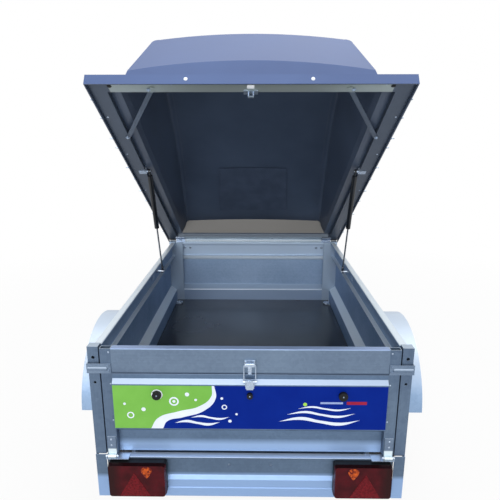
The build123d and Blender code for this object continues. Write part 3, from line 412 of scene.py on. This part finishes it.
def add_rivet(bm, spot, radius):
    """Flat flange, low dome and the stub of its mandrel."""
    flange = radius * 0.22
    add_cone(bm, spot, radius, radius * 0.94, 0, flange, 20)
    dome = spot @ Matrix.Translation((0, 0, flange)) @ Matrix.Diagonal((1, 1, 0.55, 1))
    bmesh.ops.create_uvsphere(bm, u_segments=20, v_segments=8, radius=radius * 0.62, matrix=dome)
    add_cone(bm, spot, radius * 0.2, radius * 0.2, flange + radius * 0.3, flange + radius * 0.42, 12)


def add_bolt(bm, spot, radius, height, washer=1.6, end=0.0):
    """Washer, hexagon with worn corners, and the threaded end that stands out of a nut."""
    thin = height * 0.22
    add_cone(bm, spot, radius * washer, radius * washer * 0.96, 0, thin)
    head = add_cone(bm, spot, radius, radius, thin, height, 6)
    bmesh.ops.bevel(bm, geom=edges_of(head), offset=radius * 0.1, segments=1, affect="EDGES", profile=0.5,
                    material=-1)
    if end:
        add_cone(bm, spot, radius * 0.5, radius * 0.5, height, height + end * 0.85, 16)
        add_cone(bm, spot, radius * 0.5, radius * 0.4, height + end * 0.85, height + end, 16)


def add_screw(bm, spot, radius, slot_turn=0.0):
    """Pan head: a low dome on a flat, with a sunk cross."""
    add_cone(bm, spot, radius, radius * 0.97, 0, radius * 0.25)
    dome = add_cone(bm, spot, radius * 0.97, radius * 0.6, radius * 0.25, radius * 0.5)
    outward = spot.to_3x3() @ Vector((0, 0, 1))
    caps = [face for vert in dome for face in vert.link_faces if len(face.verts) > 8]
    top = max(caps, key=lambda face: face.calc_center_median().dot(outward))
    bmesh.ops.inset_individual(bm, faces=[top], thickness=radius * 0.3, depth=0)
    bmesh.ops.inset_individual(bm, faces=[top], thickness=radius * 0.1, depth=-radius * 0.2)
    for turn in (0, pi / 2):
        bar = spot @ Matrix.Translation((0, 0, radius * 0.34)) @ Matrix.Rotation(turn + slot_turn, 4, "Z")
        size = Matrix.Diagonal((radius * 0.1, radius * 0.5, radius * 0.06, 1))
        bmesh.ops.create_cube(bm, size=1, matrix=bar @ size)


def finished(name, bm, finish, body, place=None):
    """Turns a bmesh into a piece that rides on a body, with smooth faces and sharp corners."""
    if place is not None:
        bmesh.ops.transform(bm, matrix=place, verts=bm.verts)
    bmesh.ops.recalc_face_normals(bm, faces=bm.faces)
    mesh = bpy.data.meshes.new(name)
    bm.to_mesh(mesh)
    bm.free()
    mesh.polygons.foreach_set("use_smooth", [True] * len(mesh.polygons))
    mesh.set_sharp_from_angle(angle=radians(32))
    mesh.materials.append(finish)
    made = bpy.data.objects.new(name, mesh)
    bpy.context.collection.objects.link(made)
    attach(made, body)
    return made


lid_edge, lid_tail = 0.540, 1.5633
white_lacquer = moulded("white lacquer on aluminium", "#dfe6ee", "#f6f9fc", 0.3, 0.002, 0.02)
bm = bmesh.new()
for x in (-0.210, 0.201):
    add_rivet(bm, facing((x, -lid_tail, 0.007), rearward), 0.0065)
finished("lid_rear_rivets", bm, white_lacquer, "lid", lid_turn)
bm = bmesh.new()
for side in (-1, 1):
    for back, end in ((0.16, 0.004), (0.30, 0.007), (0.445, 0.010), (0.62, 0.006), (0.74, 0.010),
                      (0.87, 0.004), (0.98, 0.011), (1.15, 0.009), (1.22, 0.011), (1.36, 0.005),
                      (1.47, 0.004)):
        add_bolt(bm, facing((side * lid_edge, -back, -0.003), (side, 0, 0)), 0.0048, 0.005, 1.5, end)
finished("lid_side_bolts", bm, plated, "lid", lid_turn)

# Lid fittings: plated screws and bolts of the keeper, the braces and the strut brackets, with rivets along
# the rails. Each head sits on the sheet it holds.
under = (0, 0, -1)
bm = bmesh.new()
for x in (-0.020, 0.020):
    add_screw(bm, facing((x, -1.512, -0.0003), under), 0.0048)
for side in (-1, 1):
    for x, back in ((0.487, 0.924), (0.502, 0.936)):
        add_screw(bm, facing((side * x, -back, -0.0033), under), 0.004)
    for x, back in ((0.4845, 1.226), (0.3385, 1.522)):
        add_bolt(bm, facing((side * x, -back, -0.0033), under), 0.0045, 0.0045)
    for back in (0.20, 0.47, 0.74, 1.09, 1.36):
        add_rivet(bm, facing((side * 0.522, -back, 0), under), 0.0038)
for x in (-0.44, -0.26, 0.13, 0.26, 0.44):
    add_rivet(bm, facing((x, -1.545, 0), under), 0.0038)
finished("lid_screws", bm, plated, "lid", lid_turn)


# Keeper block: a small white lacquered block stands out under the rear rail, behind the keeper of the latch.
# Its white is a painted highlight on the keeper. It is aluminium, with rounded edges.
def add_block(bm, spot, size, edge):
    """A rectangular block round a place, its edges rounded."""
    verts = bmesh.ops.create_cube(bm, size=1, matrix=spot @ Matrix.Diagonal((*size, 1)))["verts"]
    bmesh.ops.bevel(bm, geom=edges_of(verts), offset=edge, segments=2, affect="EDGES", profile=0.5,
                    material=-1)


bm = bmesh.new()
add_block(bm, Matrix.Translation((0, -1.5425, -0.0045)), (0.024, 0.017, 0.009), 0.0015)
finished("lid_keeper_block", bm, white_lacquer, "lid", lid_turn)

# Rear rail corners: black moulded plugs close the ends of the lid's rear tube, in the corners of its frame.
# Each is pressed in and stands out as a low step.
bm = bmesh.new()
for side in (-1, 1):
    spot = facing((side * 0.465, -1.537, 0), under)
    add_cone(bm, spot, 0.008, 0.0072, 0, 0.0012)
    add_cone(bm, spot, 0.0045, 0.004, 0.0012, 0.002)
finished("lid_corner_plugs", bm, black_moulded, "lid", lid_turn)


# Roof panel inside the lid: a second skin of raw ABS bonded under the dome, a few millimetres below it and
# following it. A flat grid is laid on the dome's inner face from below, then given its thickness.
def surface(name):
    """A CAD node's faces, to be met by rays."""
    mesh = frame["nodes"][name].data
    points = [vert.co for vert in mesh.vertices]
    return BVHTree.FromPolygons(points, [face.vertices for face in mesh.polygons])


panel_start, panel_length = 0.21, 0.36
panel_half_width, panel_taper = 0.200, 0.020
panel_gap, panel_sheet = 0.004, 0.003
dome_faces = surface("lid_shell")
upward = lid_turn.to_3x3() @ Vector((0, 0, 1))
bm = bmesh.new()
grid = bmesh.ops.create_grid(bm, x_segments=10, y_segments=18, size=0.5)["verts"]
for vert in grid:
    along = 0.5 - vert.co.y
    reach = panel_half_width - panel_taper * along
    start = lid_turn @ Vector((vert.co.x * 2 * reach, -(panel_start + panel_length * along), -0.05))
    vert.co = dome_faces.ray_cast(start, upward)[0] - upward * panel_gap
bmesh.ops.recalc_face_normals(bm, faces=bm.faces)
bmesh.ops.solidify(bm, geom=bm.faces[:], thickness=panel_sheet)
# Its tones are the shell's darkened inner ones: painted shade.
liner_abs = moulded("raw ABS liner", "#364256", "#445168", 0.5, 0.0016, 0.1)
finished("lid_roof_panel", bm, liner_abs, "lid")


# Front closing strips: angles bent from thin zinc-coated sheet. One is screwed under the lid's front rail
# between the hinges and one lies along the body's front flange. They almost meet and keep rain out.
def add_slab(bm, low, high):
    """A flat length of sheet between two corners."""
    middle, span = (Vector(low) + Vector(high)) / 2, Vector(high) - Vector(low)
    bmesh.ops.create_cube(bm, size=1, matrix=Matrix.Translation(middle) @ Matrix.Diagonal((*span, 1)))


strip_half = 0.430
bm = bmesh.new()
add_slab(bm, (-strip_half, -0.0565, -0.0013), (strip_half, -0.0115, 0))
add_slab(bm, (-strip_half, -0.0128, -0.0085), (strip_half, -0.0115, -0.0013))
bmesh.ops.remove_doubles(bm, verts=bm.verts, dist=0.00001)
strip_zinc = zinc("zinc strip of the front edge", "#a3b4c2", "#bccad6", "#c6d3df", 0.006, 0.4, 0.4, across)
finished("lid_front_strip", bm, strip_zinc, "lid", lid_turn)
bm = bmesh.new()
for x in (-0.36, -0.12, 0.12, 0.36):
    add_screw(bm, facing((x, -0.036, -0.0013), under), 0.0042)
finished("lid_front_strip_screws", bm, plated, "lid", lid_turn)

flange_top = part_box("upper_boards")[1].z
strip_y = 0.3455
bm = bmesh.new()
add_slab(bm, (-strip_half, strip_y - 0.012, flange_top), (strip_half, strip_y, flange_top + 0.0012))
add_slab(bm, (-strip_half, strip_y, flange_top), (strip_half, strip_y + 0.0015, flange_top + 0.0085))
finished("front_flange_strip", bm, strip_zinc, "trailer")

# Decal on the tailgate's bulge: printed self-adhesive film, a green field and a blue one divided by a white
# wave, with white dots, rings and ripples. Each colour is its own thin layer.
gate_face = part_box("tailgate_board")[0].y
film_thickness = 0.0002


def film(name, outlines, finish, layer):
    """Flat shapes cut from one film. An outline is points in mm (x, z, corner) on the tailgate."""
    cut = bpy.data.curves.new(name, "CURVE")
    cut.dimensions = "2D"
    cut.fill_mode = "BOTH"
    cut.resolution_u = 12
    cut.extrude = film_thickness / 2
    for outline in outlines:
        spline = cut.splines.new("BEZIER")
        spline.bezier_points.add(len(outline) - 1)
        spline.use_cyclic_u = True
        for knot, (x, z, corner) in zip(spline.bezier_points, outline):
            knot.co = (x / 1000, z / 1000, 0)
            knot.handle_left_type = knot.handle_right_type = "VECTOR" if corner else "AUTO"
    drawn = bpy.data.objects.new(name, cut)
    bpy.context.collection.objects.link(drawn)
    flat = bpy.data.meshes.new_from_object(drawn.evaluated_get(bpy.context.evaluated_depsgraph_get()))
    bpy.data.objects.remove(drawn)
    bm = bmesh.new()
    bm.from_mesh(flat)
    bmesh.ops.remove_doubles(bm, verts=bm.verts, dist=0.000001)
    depth = gate_face - 0.0001 - film_thickness * (layer + 0.5)
    return finished(name, bm, finish, "tailgate",
                    Matrix.Translation((0, depth, 0)) @ Matrix.Rotation(pi / 2, 4, "X"))


def dot(x, z, radius):
    """Four smooth points of a round spot."""
    return [(x + radius * cos(turn), z + radius * sin(turn), False) for turn in (0, pi / 2, pi, 3 * pi / 2)]


def ripple(x, z, length, rise, width):
    """A tapered wave with sharp tips: crest at a third, trough at two thirds."""
    top = [(x, z, True), (x + length * 0.27, z + rise + width / 2, False),
           (x + length * 0.52, z + width * 0.4, False),
           (x + length * 0.76, z - rise * 0.7 + width / 2, False), (x + length, z + rise * 0.5, True)]
    low = [(x + length * 0.76, z - rise * 0.7 - width / 2, False),
           (x + length * 0.50, z - width * 0.4, False), (x + length * 0.27, z + rise - width / 2, False)]
    return top + low


def print_ink(name, tone, worn):
    """Solvent ink under a clear laminate: even colour, faintly mottled, half gloss."""
    return moulded(name, tone, worn, 0.4, 0.003, 0.02, 0.0, 0.06)


# Edges of the printed film, in mm.
left, right = -451.0, 451.0
low, high = 634.5, 793.5
film("decal_blue", [[(left, low, True), (right, low, True), (right, high, True), (left, high, True)]],
     print_ink("blue print", "#00207e", "#022585"), 0)
film("decal_green", [[(left, low, True), (-322, low, True), (-300, 668, False), (-232, 692, False),
                      (-160, 712, False), (-120, 750, False), (-118, high, True), (left, high, True)]],
     print_ink("green print", "#71ae4a", "#7ab753"), 1)
white_print = print_ink("white print", "#d5def0", "#e4ebf8")
film("decal_wave", [[(-330, low, True), (-306, 673, False), (-236, 699, False), (-166, 719, False),
                     (-127, 754, False), (-124, high, True), (-116, high, True), (-112, 748, False),
                     (-150, 703, False), (-222, 677, False), (-276, 661, False), (-290, low, True)],
                    ripple(-250, 656, 150, 7, 9), ripple(-196, 676, 128, 6, 7)], white_print, 2)
film("decal_dots", [dot(-396, 684, 12), dot(-396, 684, 8), dot(-352, 706, 7), dot(-250, 736, 16),
                    dot(-250, 736, 11), dot(-250, 736, 5), dot(-206, 762, 7), dot(-178, 742, 4.5),
                    dot(-414, 726, 4.5), dot(-84, 716, 9), dot(-84, 716, 5.5), dot(-92, 748, 4.5),
                    dot(-66, 664, 5.5), dot(-44, 690, 4)], white_print, 2)
film("decal_ripples", [ripple(96, 664, 268, 12, 11), ripple(122, 690, 226, 10, 8),
                       ripple(158, 712, 176, 7, 6)], white_print, 1)
film("decal_spot", [dot(182, 728, 6.5)], print_ink("lime print", "#9ad04a", "#a8da5c"), 1)
film("decal_bar", [[(318, 728, True), (384, 728, True), (384, 739, True), (318, 739, True)]],
     print_ink("red print", "#8f2038", "#a02a44"), 1)
film("decal_rule", [[(232, 730, True), (306, 730, True), (306, 737, True), (232, 737, True)]],
     print_ink("grey print", "#8fa0cc", "#9fb0d8"), 1)

# Tailgate buttons: black moulded tarpaulin buttons, each held by a plated screw in its middle. A white washer
# lies round the left one.
button_z, button_step = 0.761, 0.305
button_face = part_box("tailgate_buttons")[0].y
bm = bmesh.new()
for x in (-button_step, button_step, 0.0):
    add_screw(bm, facing((x, button_face + 0.0004, button_z), rearward), 0.0028, 0.5)
finished("tailgate_button_screws", bm, strap_zinc, "tailgate")
washer_bore, washer_rim, washer_sheet = 0.0152, 0.0186, 0.0008
bm = bmesh.new()
ring_rims = []
for radius, depth in ((washer_bore, 1), (washer_rim, 1), (washer_rim, 2), (washer_bore, 2)):
    spot = facing((-button_step, gate_face - washer_sheet * depth, button_z), rearward)
    ring = bmesh.ops.create_circle(bm, segments=40, radius=radius, matrix=spot)["verts"]
    ring_rims.append(edges_of(ring))
for first, second in zip(ring_rims, ring_rims[1:] + ring_rims[:1]):
    bmesh.ops.bridge_loops(bm, edges=first + second)
finished("tailgate_button_washer", bm, white_lacquer, "tailgate")

# Rear lamps: an injection-moulded red acrylic lens on the black housing, finely fluted, with a triangular
# reflex plate of corner prisms and a faceted amber window over the indicator bulb, whose bright orange cells
# are a painted glint. The lens is smoked at its outer end, and its upward faces are painted dark as shade
# under the housing.
smoke_starts, smoke_full = 0.435, 0.465
flute_pitch = 0.0035
lens_red, tree, shader, place = new_finish("red acrylic")
spot = add_node(tree, "ShaderNodeSeparateXYZ", {"Vector": place.outputs["Object"]})
outward = add_node(tree, "ShaderNodeMath", {0: spot.outputs["X"]}, operation="ABSOLUTE")
smoked = add_node(tree, "ShaderNodeMapRange", {"Value": outward.outputs[0], "From Min": smoke_starts,
                                               "From Max": smoke_full})
depths = add_node(tree, "ShaderNodeTexNoise", {"Vector": place.outputs["Object"], "Scale": 30, "Detail": 4.0})
glass = tone_between(tree, depths.outputs["Fac"], "#38080f", "#4c0c15", 0.35, 0.7)
glass = add_node(tree, "ShaderNodeMix", {0: smoked.outputs[0], 6: glass, 7: linear("#2a0e10")},
                 data_type="RGBA").outputs[2]
# Upward faces of the lens are painted dark: painted shade under the housing.
turned_up = add_node(tree, "ShaderNodeSeparateXYZ", {"Vector": place.outputs["Normal"]})
painted_rim_shade = add_node(tree, "ShaderNodeMapRange", {"Value": turned_up.outputs["Z"], "From Min": 0.2,
                                                  "From Max": 0.7})
glass = add_node(tree, "ShaderNodeMix", {0: painted_rim_shade.outputs[0], 6: glass, 7: linear("#1c0709")},
                 data_type="RGBA")
flutes = add_node(tree, "ShaderNodeMath", {0: spot.outputs["X"], 1: 2 * pi / flute_pitch},
                  operation="MULTIPLY")
flutes = add_node(tree, "ShaderNodeMath", {0: flutes.outputs[0]}, operation="SINE")
bump = add_node(tree, "ShaderNodeBump", {"Height": flutes.outputs[0], "Strength": 0.25, "Distance": 0.0004})
tree.links.new(glass.outputs[2], shader.inputs["Base Color"])
tree.links.new(bump.outputs[0], shader.inputs["Normal"])
shader.inputs["Roughness"].default_value = 0.16
shader.inputs["Specular IOR Level"].default_value = 0.12
finish_nodes(lens_red, "lamp_lenses")


def prisms(name, dark, light, pitch, specular):
    """Moulded prisms in a clear colour: cells of one pitch, each with its own tone and tilt."""
    finish, tree, shader, place = new_finish(name)
    cells = add_node(tree, "ShaderNodeTexVoronoi", {"Vector": place.outputs["Object"], "Scale": 1 / pitch})
    cell = add_node(tree, "ShaderNodeSeparateColor", {"Color": cells.outputs["Color"]})
    bump = add_node(tree, "ShaderNodeBump", {"Height": cells.outputs["Distance"], "Strength": 0.5,
                                             "Distance": 0.001})
    tree.links.new(tone_between(tree, cell.outputs[0], dark, light, 0.1, 0.9), shader.inputs["Base Color"])
    tree.links.new(bump.outputs[0], shader.inputs["Normal"])
    shader.inputs["Roughness"].default_value = 0.2
    shader.inputs["Specular IOR Level"].default_value = specular
    return finish


reflex_red = prisms("red reflex prisms", "#520b13", "#6c121b", 0.004, 0.12)
# The amber facets run to bright orange: a painted glint over the amber window.
amber_bulb_glint = prisms("amber lens facets", "#5a1210", "#c4561c", 0.0065, 0.15)
lens_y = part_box("lamp_lenses")[0].y
lens_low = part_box("lamp_lenses")[0].z
reflex_x, reflex_up, reflex_radius, reflex_sheet = 0.392, 0.037, 0.0605, 0.0009
bm = bmesh.new()
for side in (-1, 1):
    spot = facing((side * reflex_x, lens_y, lens_low + reflex_up), rearward)
    plate = bmesh.ops.create_circle(bm, cap_ends=True, segments=3, radius=reflex_radius, matrix=spot)["verts"]
    raised = bmesh.ops.extrude_face_region(bm, geom=plate[0].link_faces[:])["geom"]
    bmesh.ops.translate(bm, vec=(0, -reflex_sheet, 0), verts=[part for part in raised
                                                              if isinstance(part, bmesh.types.BMVert)])
finished("lamp_reflex_plates", bm, reflex_red, "trailer")
bulb_x, bulb_up, bulb_radius = 0.350, 0.0985, 0.021
bm = bmesh.new()
for side in (-1, 1):
    bulb = Matrix.Translation((side * bulb_x, lens_y, lens_low + bulb_up))
    flattened = Matrix.Diagonal((1.25, 0.05, 1.05, 1))
    drop = bmesh.ops.create_icosphere(bm, subdivisions=3, radius=bulb_radius)["verts"]
    for vert in drop:
        vert.co.x *= 0.62 + 0.38 * vert.co.z / bulb_radius
        vert.co = bulb @ flattened @ vert.co
finished("lamp_bulb_windows", bm, amber_bulb_glint, "trailer")

# Tailgate fastenings: plated pan-head screws through the hinge straps, and blind rivets down the inner edge
# of each stile, where the boards are fixed to it.
strap_x, strap_y = 0.472, -1.1733
stile_edge = 0.459
bm = bmesh.new()
for side in (-1, 1):
    for z in (0.560, 0.582):
        add_screw(bm, facing((side * strap_x, strap_y, z), rearward), 0.0042, 0.7)
    for z in (0.656, 0.792, 0.905):
        add_rivet(bm, facing((side * stile_edge, rear_y, z), rearward), 0.003)
finished("tailgate_strap_screws", bm, plated, "tailgate")

# Plate bolts: two hexagon bolts with a dipped coat stand in the holes of the lamp board that a number plate
# is hung from.
plate_hole_x, plate_hole_z = 0.0725, 0.4739
lamp_board_y = -1.1602
bm = bmesh.new()
for side in (-1, 1):
    add_bolt(bm, facing((side * plate_hole_x, lamp_board_y, plate_hole_z), rearward), 0.0045, 0.003, 1.4)
finished("plate_bolts", bm, dipped, "trailer")

# Body fastenings: plated hexagon bolts on washers go through the posts and boards at each corner of the box,
# four to a corner.
post_x = 0.5300
bm = bmesh.new()
for side in (-1, 1):
    for y in (-1.150, 0.350):
        for z in (0.552, 0.585, 0.66, 0.78):
            add_bolt(bm, facing((side * post_x, y, z), (side, 0, 0)), 0.005, 0.004)
finished("post_bolts", bm, plated, "trailer")

# Front panel bolts: the plated bolts that hold the front extension board to the corner posts show inside it,
# two at each side. A ray finds the sheet that each sits on.
def on_face(name, start, direction):
    """Where a ray first meets a CAD node."""
    return surface(name).ray_cast(Vector(start), Vector(direction))[0]


forward = (0, 1, 0)
extension_bolt_z = 0.878
bm = bmesh.new()
for side in (-1, 1):
    for x in (0.402, 0.436):
        spot = on_face("upper_boards", (side * x, 0.2, extension_bolt_z), forward)
        add_bolt(bm, facing(spot, rearward), 0.0055, 0.004, 1.5)
finished("front_panel_bolts", bm, plated, "trailer")

# Screws of the tarpaulin buttons on the sides and the front: one in the middle of each moulded button, in
# dull zinc plate, as on the tailgate.
button_radius = 0.015
first_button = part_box("tarp_buttons")[0].y + button_radius
bm = bmesh.new()
for side in (-1, 1):
    for step in range(5):
        start = (side * 0.7, first_button + button_step * step, button_z)
        add_screw(bm, facing(on_face("tarp_buttons", start, (-side, 0, 0)), (side, 0, 0)), 0.0028, 0.4)
for x in (-button_step, 0.0, button_step):
    add_screw(bm, facing(on_face("tarp_buttons", (x, 0.6, button_z), rearward), forward), 0.0028, 0.9)
finished("tarp_button_screws", bm, strap_zinc, "trailer")

# Mudguard bolts: each guard hangs on three hexagon bolts with broad washers, which go through its flange into
# the spacers at the side board.
rim_low, rim_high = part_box("wheel_rim_left")
axle_y, axle_z = (rim_low.y + rim_high.y) / 2, (rim_low.z + rim_high.z) / 2
guard_z, guard_bolt_reach = 0.390, 0.320
bm = bmesh.new()
for side, name in ((-1, "mudguard_left"), (1, "mudguard_right")):
    for angle in (radians(58), radians(90), radians(122)):
        start = (side * 0.72, axle_y + guard_bolt_reach * cos(angle), guard_z + guard_bolt_reach * sin(angle))
        add_bolt(bm, facing(on_face(name, start, (-side, 0, 0)), (side, 0, 0)), 0.0065, 0.0055, 1.7)
finished("mudguard_bolts", bm, plated, "trailer")

# Reflectors: moulded acrylic prisms in flat cases, amber at the sides and clear at the front, fixed to the
# lower boards. They are out of the photo's sight and are of the usual kind.
amber_reflex = prisms("amber reflex prisms", "#9c400a", "#cc6414", 0.004, 0.3)
clear_reflex = prisms("clear reflex prisms", "#b4bcc6", "#e6ebf0", 0.004, 0.5)
reflector_z, side_reflector_y, front_reflector_x = 0.566, 0.12, 0.40
reflector_size = (0.080, 0.034, 0.006)
for name, finish, places in (
        ("side_reflectors", amber_reflex,
         [("left_board", (-0.8, side_reflector_y, reflector_z), (1, 0, 0)),
          ("right_board", (0.8, side_reflector_y, reflector_z), (-1, 0, 0))]),
        ("front_reflectors", clear_reflex,
         [("front_board", (-front_reflector_x, 0.6, reflector_z), rearward),
          ("front_board", (front_reflector_x, 0.6, reflector_z), rearward)])):
    bm = bmesh.new()
    for board, start, inward in places:
        spot = facing(on_face(board, start, inward), -Vector(inward))
        add_block(bm, spot @ Matrix.Translation((0, 0, reflector_size[2] / 2)), reflector_size, 0.002)
    finished(name, bm, finish, "trailer")

# Coupling bolts: two plated through bolts hold the coupling head on the drawbar, with their heads at the left
# and their nuts and ends at the right.
drawbar_z, bolt_end = 0.4116, 0.004
bm = bmesh.new()
for side in (-1, 1):
    for y in (0.925, 0.980):
        spot = on_face("coupling_head", (side * 0.2, y, drawbar_z), (-side, 0, 0))
        add_bolt(bm, facing(spot, (side, 0, 0)), 0.0095, 0.008, 1.35, bolt_end if side > 0 else 0)
finished("coupling_bolts", bm, plated, "trailer")

# Toggle latch lever: the pressed and plated lever of the latch lies flat inside its loop, on the tailgate's
# upper board, and two rivets hold it.
latch_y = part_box("tailgate_extension")[0].y
latch_z, lever_sheet = 0.843, 0.003
bm = bmesh.new()
add_block(bm, Matrix.Translation((0, latch_y - lever_sheet / 2, latch_z)), (0.013, lever_sheet, 0.030), 0.001)
for rivet_z in (latch_z - 0.008, latch_z + 0.008):
    add_rivet(bm, facing((0, latch_y - lever_sheet, rivet_z), rearward), 0.0042)
finished("latch_lever", bm, plated, "tailgate")

# Hinge end pads: black rubber blocks under the ends of the lid's front edge. They close the gap beside each
# hinge and keep the sheet edges apart.
bm = bmesh.new()
for side in (-1, 1):
    add_block(bm, Matrix.Translation((side * 0.512, -0.00325, 0.004)), (0.038, 0.0105, 0.016), 0.001)
finished("lid_end_pads", bm, roller_rubber, "lid", lid_turn)

# Wheels: plated wheel bolts cover the four nut seats of each enamelled rim, a pressed cap closes the hub, and
# a rubber valve stands in the rim's outer well.
half_track = 0.6325
bolt_circle, bolt_seat = 0.049, 0.0278
for side, name in ((-1, "left"), (1, "right")):
    axle = facing((side * half_track, axle_y, axle_z), (side, 0, 0))
    bm = bmesh.new()
    for quarter in range(4):
        turn = Matrix.Rotation(radians(45 + 90 * quarter), 4, "Z")
        add_bolt(bm, axle @ turn @ Matrix.Translation((0, bolt_circle, bolt_seat)), 0.0108, 0.0115, 1.22)
    finished("wheel_bolts_" + name, bm, plated, "wheel_" + name)
    bm = bmesh.new()
    for low, high, start, end in ((0.0352, 0.0352, 0.0245, 0.029), (0.0338, 0.0338, 0.029, 0.0562),
                                  (0.0338, 0.0268, 0.0562, 0.0625), (0.0268, 0.0150, 0.0625, 0.0648)):
        add_cone(bm, axle, low, high, start, end, 48)
    finished("hub_cap_" + name, bm, plated, "wheel_" + name)
    bm = bmesh.new()
    stem = axle @ Matrix.Rotation(radians(14), 4, "Z") @ Matrix.Translation((0, 0.1545, 0.022))
    for low, high, start, end in ((0.0078, 0.0060, 0, 0.006), (0.0055, 0.0045, 0.006, 0.022),
                                  (0.0048, 0.0048, 0.022, 0.032)):
        add_cone(bm, stem, low, high, start, end, 20)
    finished("tyre_valve_" + name, bm, roller_rubber, "wheel_" + name)

# Tyres: black rubber radials, 145/80 R13, with four grooves round the tread and cross grooves in every rib.
# The profile is spun about the axle, and the cross grooves are sunk between the ribs.
tyre_rubber, tree, shader, place = new_finish("tyre rubber")
grime = add_node(tree, "ShaderNodeTexNoise", {"Vector": place.outputs["Object"], "Scale": 9, "Detail": 6.0})
grain = add_node(tree, "ShaderNodeTexNoise", {"Vector": place.outputs["Object"], "Scale": 1 / 0.0015})
bump = add_node(tree, "ShaderNodeBump", {"Height": grain.outputs["Fac"], "Strength": 0.25,
                                         "Distance": 0.0004})
tree.links.new(tone_between(tree, grime.outputs["Fac"], "#17181a", "#2f3031", 0.35, 0.8),
               shader.inputs["Base Color"])
tree.links.new(bump.outputs[0], shader.inputs["Normal"])
shader.inputs["Roughness"].default_value = 0.74

tread_half = [(0.0, 281.0), (8.5, 280.9), (9.2, 274.4), (13.8, 274.4), (14.5, 280.8), (27.0, 280.3),
              (27.7, 274.0), (32.3, 273.8), (33.0, 279.9), (43.0, 279.2), (50.5, 277.8), (57.5, 275.0),
              (63.0, 269.0), (66.0, 260.5), (69.6, 247.0), (70.4, 246.4), (71.9, 231.0), (72.5, 215.0),
              (71.4, 204.0), (72.2, 202.5), (70.6, 200.5), (69.0, 190.0), (66.0, 180.0), (61.0, 176.5),
              (60.0, 167.0), (50.0, 167.0), (60.0, 215.0), (54.0, 262.0), (0.0, 263.0)]
ribs = ((0.0, 8.5, 2), (14.5, 27.0, 0), (33.0, 43.0, 2), (43.0, 50.5, 2), (50.5, 57.5, 0), (57.5, 63.0, 0))
tread_shoulder = 0.270
groove_depth = 0.0045
pitches = 72
steps = pitches * 4
for side in ("left", "right"):
    low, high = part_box("tyre_" + side)
    hub = (low + high) / 2
    bm = bmesh.new()
    outline = [bm.verts.new((x / 1000, 0, r / 1000)) for x, r in tread_half]
    rim = [bm.edges.new(pair) for pair in zip(outline, outline[1:])]
    bmesh.ops.mirror(bm, geom=outline + rim, axis="X", merge_dist=0.00001)
    bmesh.ops.spin(bm, geom=bm.verts[:] + bm.edges[:], cent=(0, 0, 0), axis=(1, 0, 0), angle=2 * pi,
                   steps=steps, use_merge=True, use_duplicate=False)
    bmesh.ops.remove_doubles(bm, verts=bm.verts, dist=0.00002)
    bmesh.ops.recalc_face_normals(bm, faces=bm.faces)
    grooves = []
    for face in bm.faces:
        spot = face.calc_center_median()
        out = Vector((0, spot.y, spot.z)).length
        step = int(atan2(spot.z, spot.y) / (2 * pi / steps) + steps) % 4
        for start, end, phase in ribs:
            if start < abs(spot.x) * 1000 < end and out > tread_shoulder and step == phase:
                grooves.append(face)
    bmesh.ops.inset_individual(bm, faces=grooves, thickness=0.0008, depth=-groove_depth, use_even_offset=True)
    tyre = finished("tyre_treaded_" + side, bm, tyre_rubber, "wheel_" + side,
                    Matrix.Translation(hub))
    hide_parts("tyre_" + side)
